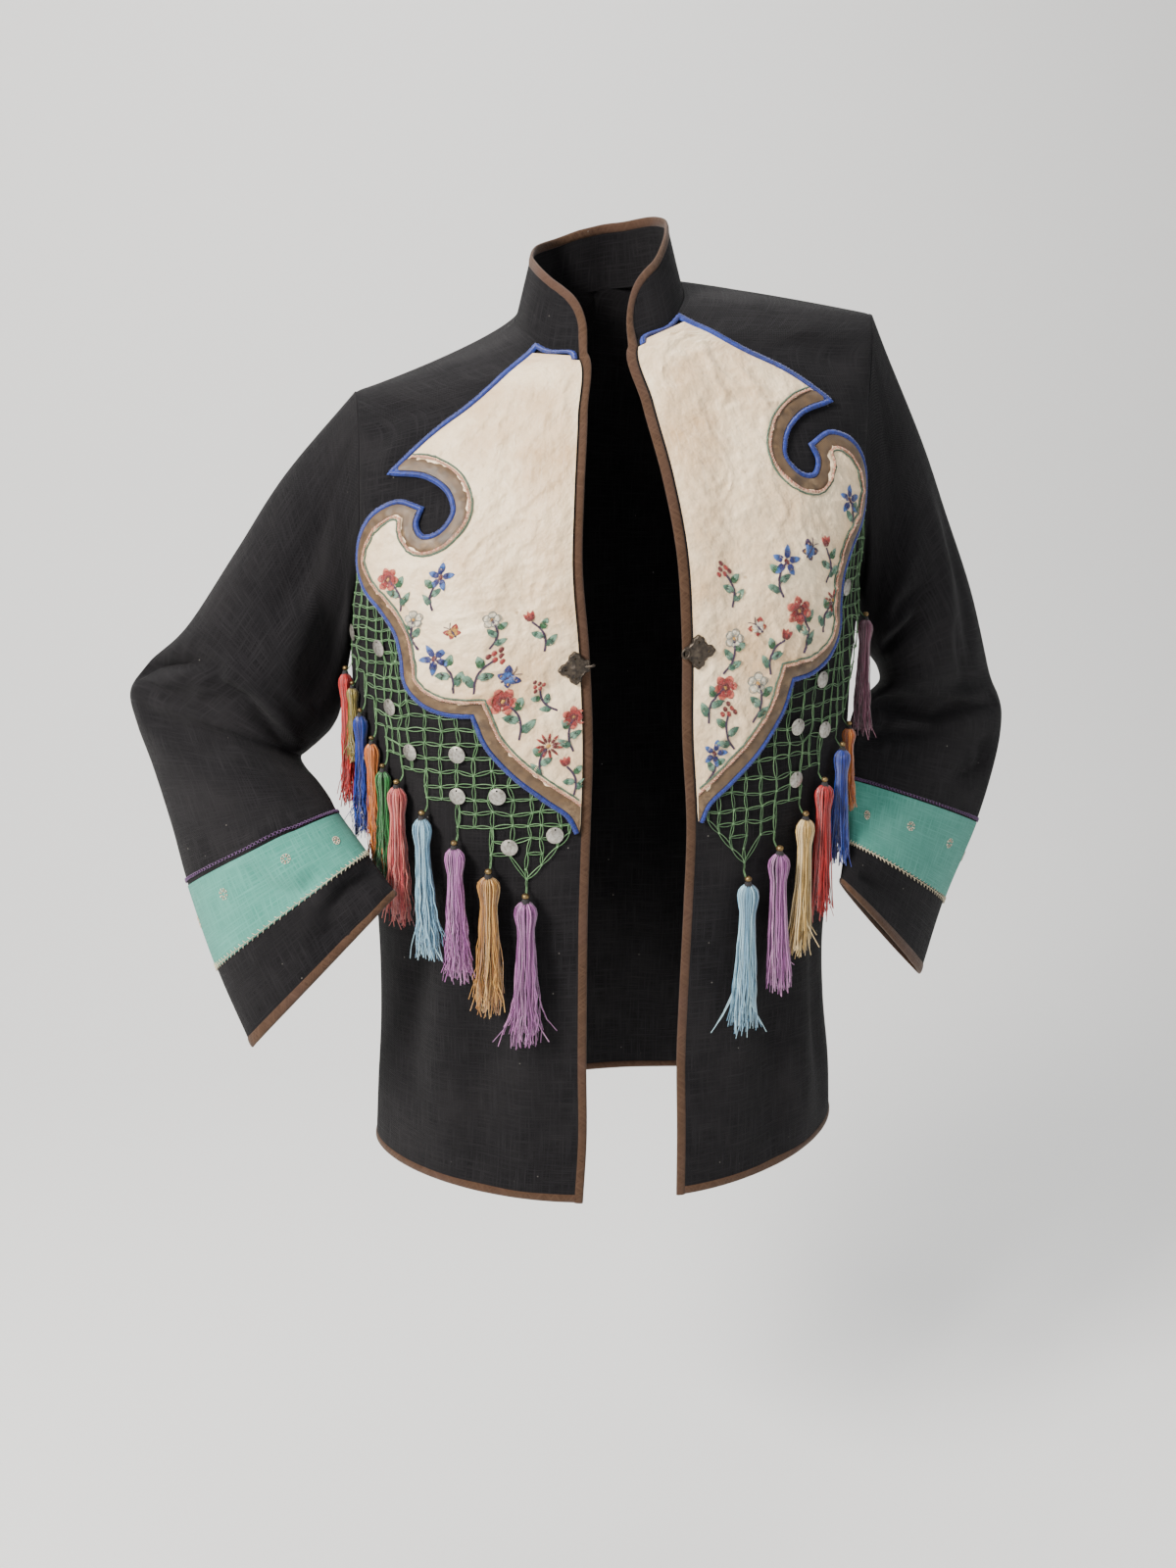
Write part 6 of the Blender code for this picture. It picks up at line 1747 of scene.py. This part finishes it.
class SleevePart:
    """A stretch of a sleeve, read in metres down from its start and round from the armpit."""

    def __init__(self, side, first, last, lift):
        self.points, self.normals, self.flat = sleeves[side].grid(np.linspace(first, last, 40), lift)
        self.top = self.flat[0, 0, 1]
        self.deep = self.flat[-1, 0, 1] - self.top

    def at(self, places):
        """Points and outward directions at rows of (round, down)."""
        row = np.clip(places[:, 1] / self.deep, 0, 1) * 38.999
        column = (places[:, 0] / GIRTH % 1.0) * AROUND
        return [read_grid(table, row, column) for table in (self.points, self.normals)]


for side in SIGN:
    part = SleevePart(side, BAND_FROM[side] - 0.3, BAND_TO[side] + 0.3, BAND_LIFT + 0.0004)
    upper_seam = float(sleeves[side].length(BAND_FROM[side])) - part.top
    lower_seam = float(sleeves[side].length(BAND_TO[side])) - part.top
    stitches = []
    for around in np.arange(0, GIRTH, CROSS_STEP):
        for lean in (0.85, -0.85):
            stitch(stitches, (around, upper_seam), lean + draws.normal(0, 0.08), 0.0042, VIOLET)
    for k, around in enumerate(np.arange(0, GIRTH, FEATHER_STEP)):
        way = 1 if k % 2 else -1
        lean = 0.95 * way + draws.normal(0, 0.1)
        stitch(stitches, (around, lower_seam + 0.001 * way), lean, 0.0036, STRAW)
        stitch(stitches, (around + 0.0012, lower_seam), 0.15 * way, 0.003, (0.55, 0.47, 0.3))
    for share, turned in ROSETTES[side]:
        centre = np.array([turned * GIRTH, upper_seam + share * (lower_seam - upper_seam)])
        for k in range(8):
            angle = k * math.pi / 4 + 0.2
            stitch(stitches, centre + 0.0021 * pointing(angle), angle, 0.0024, PINK if k % 2 else PALE)
            stitch(stitches, centre + 0.0034 * pointing(angle), angle + math.pi / 2, 0.0026, CREAMY)
    stitches = np.array(stitches)
    points, out = part.at(stitches[:, :2])
    along = part.at(stitches[:, :2] + pointing(stitches[:, 2]) * 0.0008)[0] - points
    shades = opaque(stitches[:, 4:7] * draws.uniform(0.8, 1.2, (len(stitches), 1)))
    stitching = sewn("band_stitching_" + side, points, unit(along), out, stitches[:, 3], shades, band_thread,
                     width=0.00065, height=0.0008, uneven=0.12, seed=9)
    declared(stitching, "band")

# ---- The floor, the light and the view ---------------------------------------------
# A plain pale sweep of paper stands behind and below the jacket, lit softly from the
# front and above, as for a catalogue picture.
FLOOR = -1.12
paper, tree, shader = finish_start("pale_paper", 0.9)
shader.inputs["Base Color"].default_value = (0.86, 0.86, 0.85, 1.0)
SWEEP_AT, SWEEP_RADIUS = 1.2, 0.9             # where the paper starts to curve up, and how widely
profile = [(-3.0, FLOOR), (SWEEP_AT, FLOOR)]
profile += [(SWEEP_AT + SWEEP_RADIUS * math.sin(t), FLOOR + SWEEP_RADIUS * (1 - math.cos(t)))
            for t in np.linspace(0, math.pi / 2, 14)]
profile += [(SWEEP_AT + SWEEP_RADIUS, 3.2)]
corners = [(i * 2, i * 2 + 1, i * 2 + 3, i * 2 + 2) for i in range(len(profile) - 1)]
sweep_points = [(x, y, z) for y, z in profile for x in (-4.0, 4.0)]
made_mesh("paper_sweep", sweep_points, corners, [(0.0, 0.0)] * 4 * len(corners), paper)


def soft_light(name, place, aim, size, power, colour=(1.0, 1.0, 1.0)):
    """A large square light turned towards a point."""
    lamp = bpy.data.lights.new(name, "AREA")
    lamp.size, lamp.energy, lamp.color = size, power, colour
    made = shown(name, lamp)
    made.location = place
    made.rotation_euler = (Vector(aim) - Vector(place)).to_track_quat("-Z", "Y").to_euler()


soft_light("key", (-1.8, -1.4, 1.1), (0, 0, -0.3), 0.7, 150, (1.0, 0.955, 0.9))
soft_light("fill", (1.5, -2.0, 0.2), (0, 0, -0.35), 1.8, 13, (1.0, 0.97, 0.94))
soft_light("above", (0.1, 0.1, 1.9), (0, 0, -0.2), 1.6, 30)
soft_light("behind", (0.2, 1.2, 2.0), (0, 0, -0.3), 1.2, 26)
world = bpy.data.worlds.new("studio")
bpy.context.scene.world = world
world.use_nodes = True
world.node_tree.nodes["Background"].inputs["Color"].default_value = (0.95, 0.97, 1.0, 1.0)
world.node_tree.nodes["Background"].inputs["Strength"].default_value = 0.42

lens = bpy.data.cameras.new("view")
lens.sensor_fit, lens.sensor_width, lens.sensor_height, lens.lens = "VERTICAL", 36.0, 36.0, 36.0
lens.clip_start, lens.clip_end = 0.05, 30.0
camera = shown("view", lens)
camera.location = (-0.2032, -1.1522, -0.04)
camera.rotation_euler = (math.radians(75.0), 0.0, math.radians(-9.4))
bpy.context.scene.camera = camera
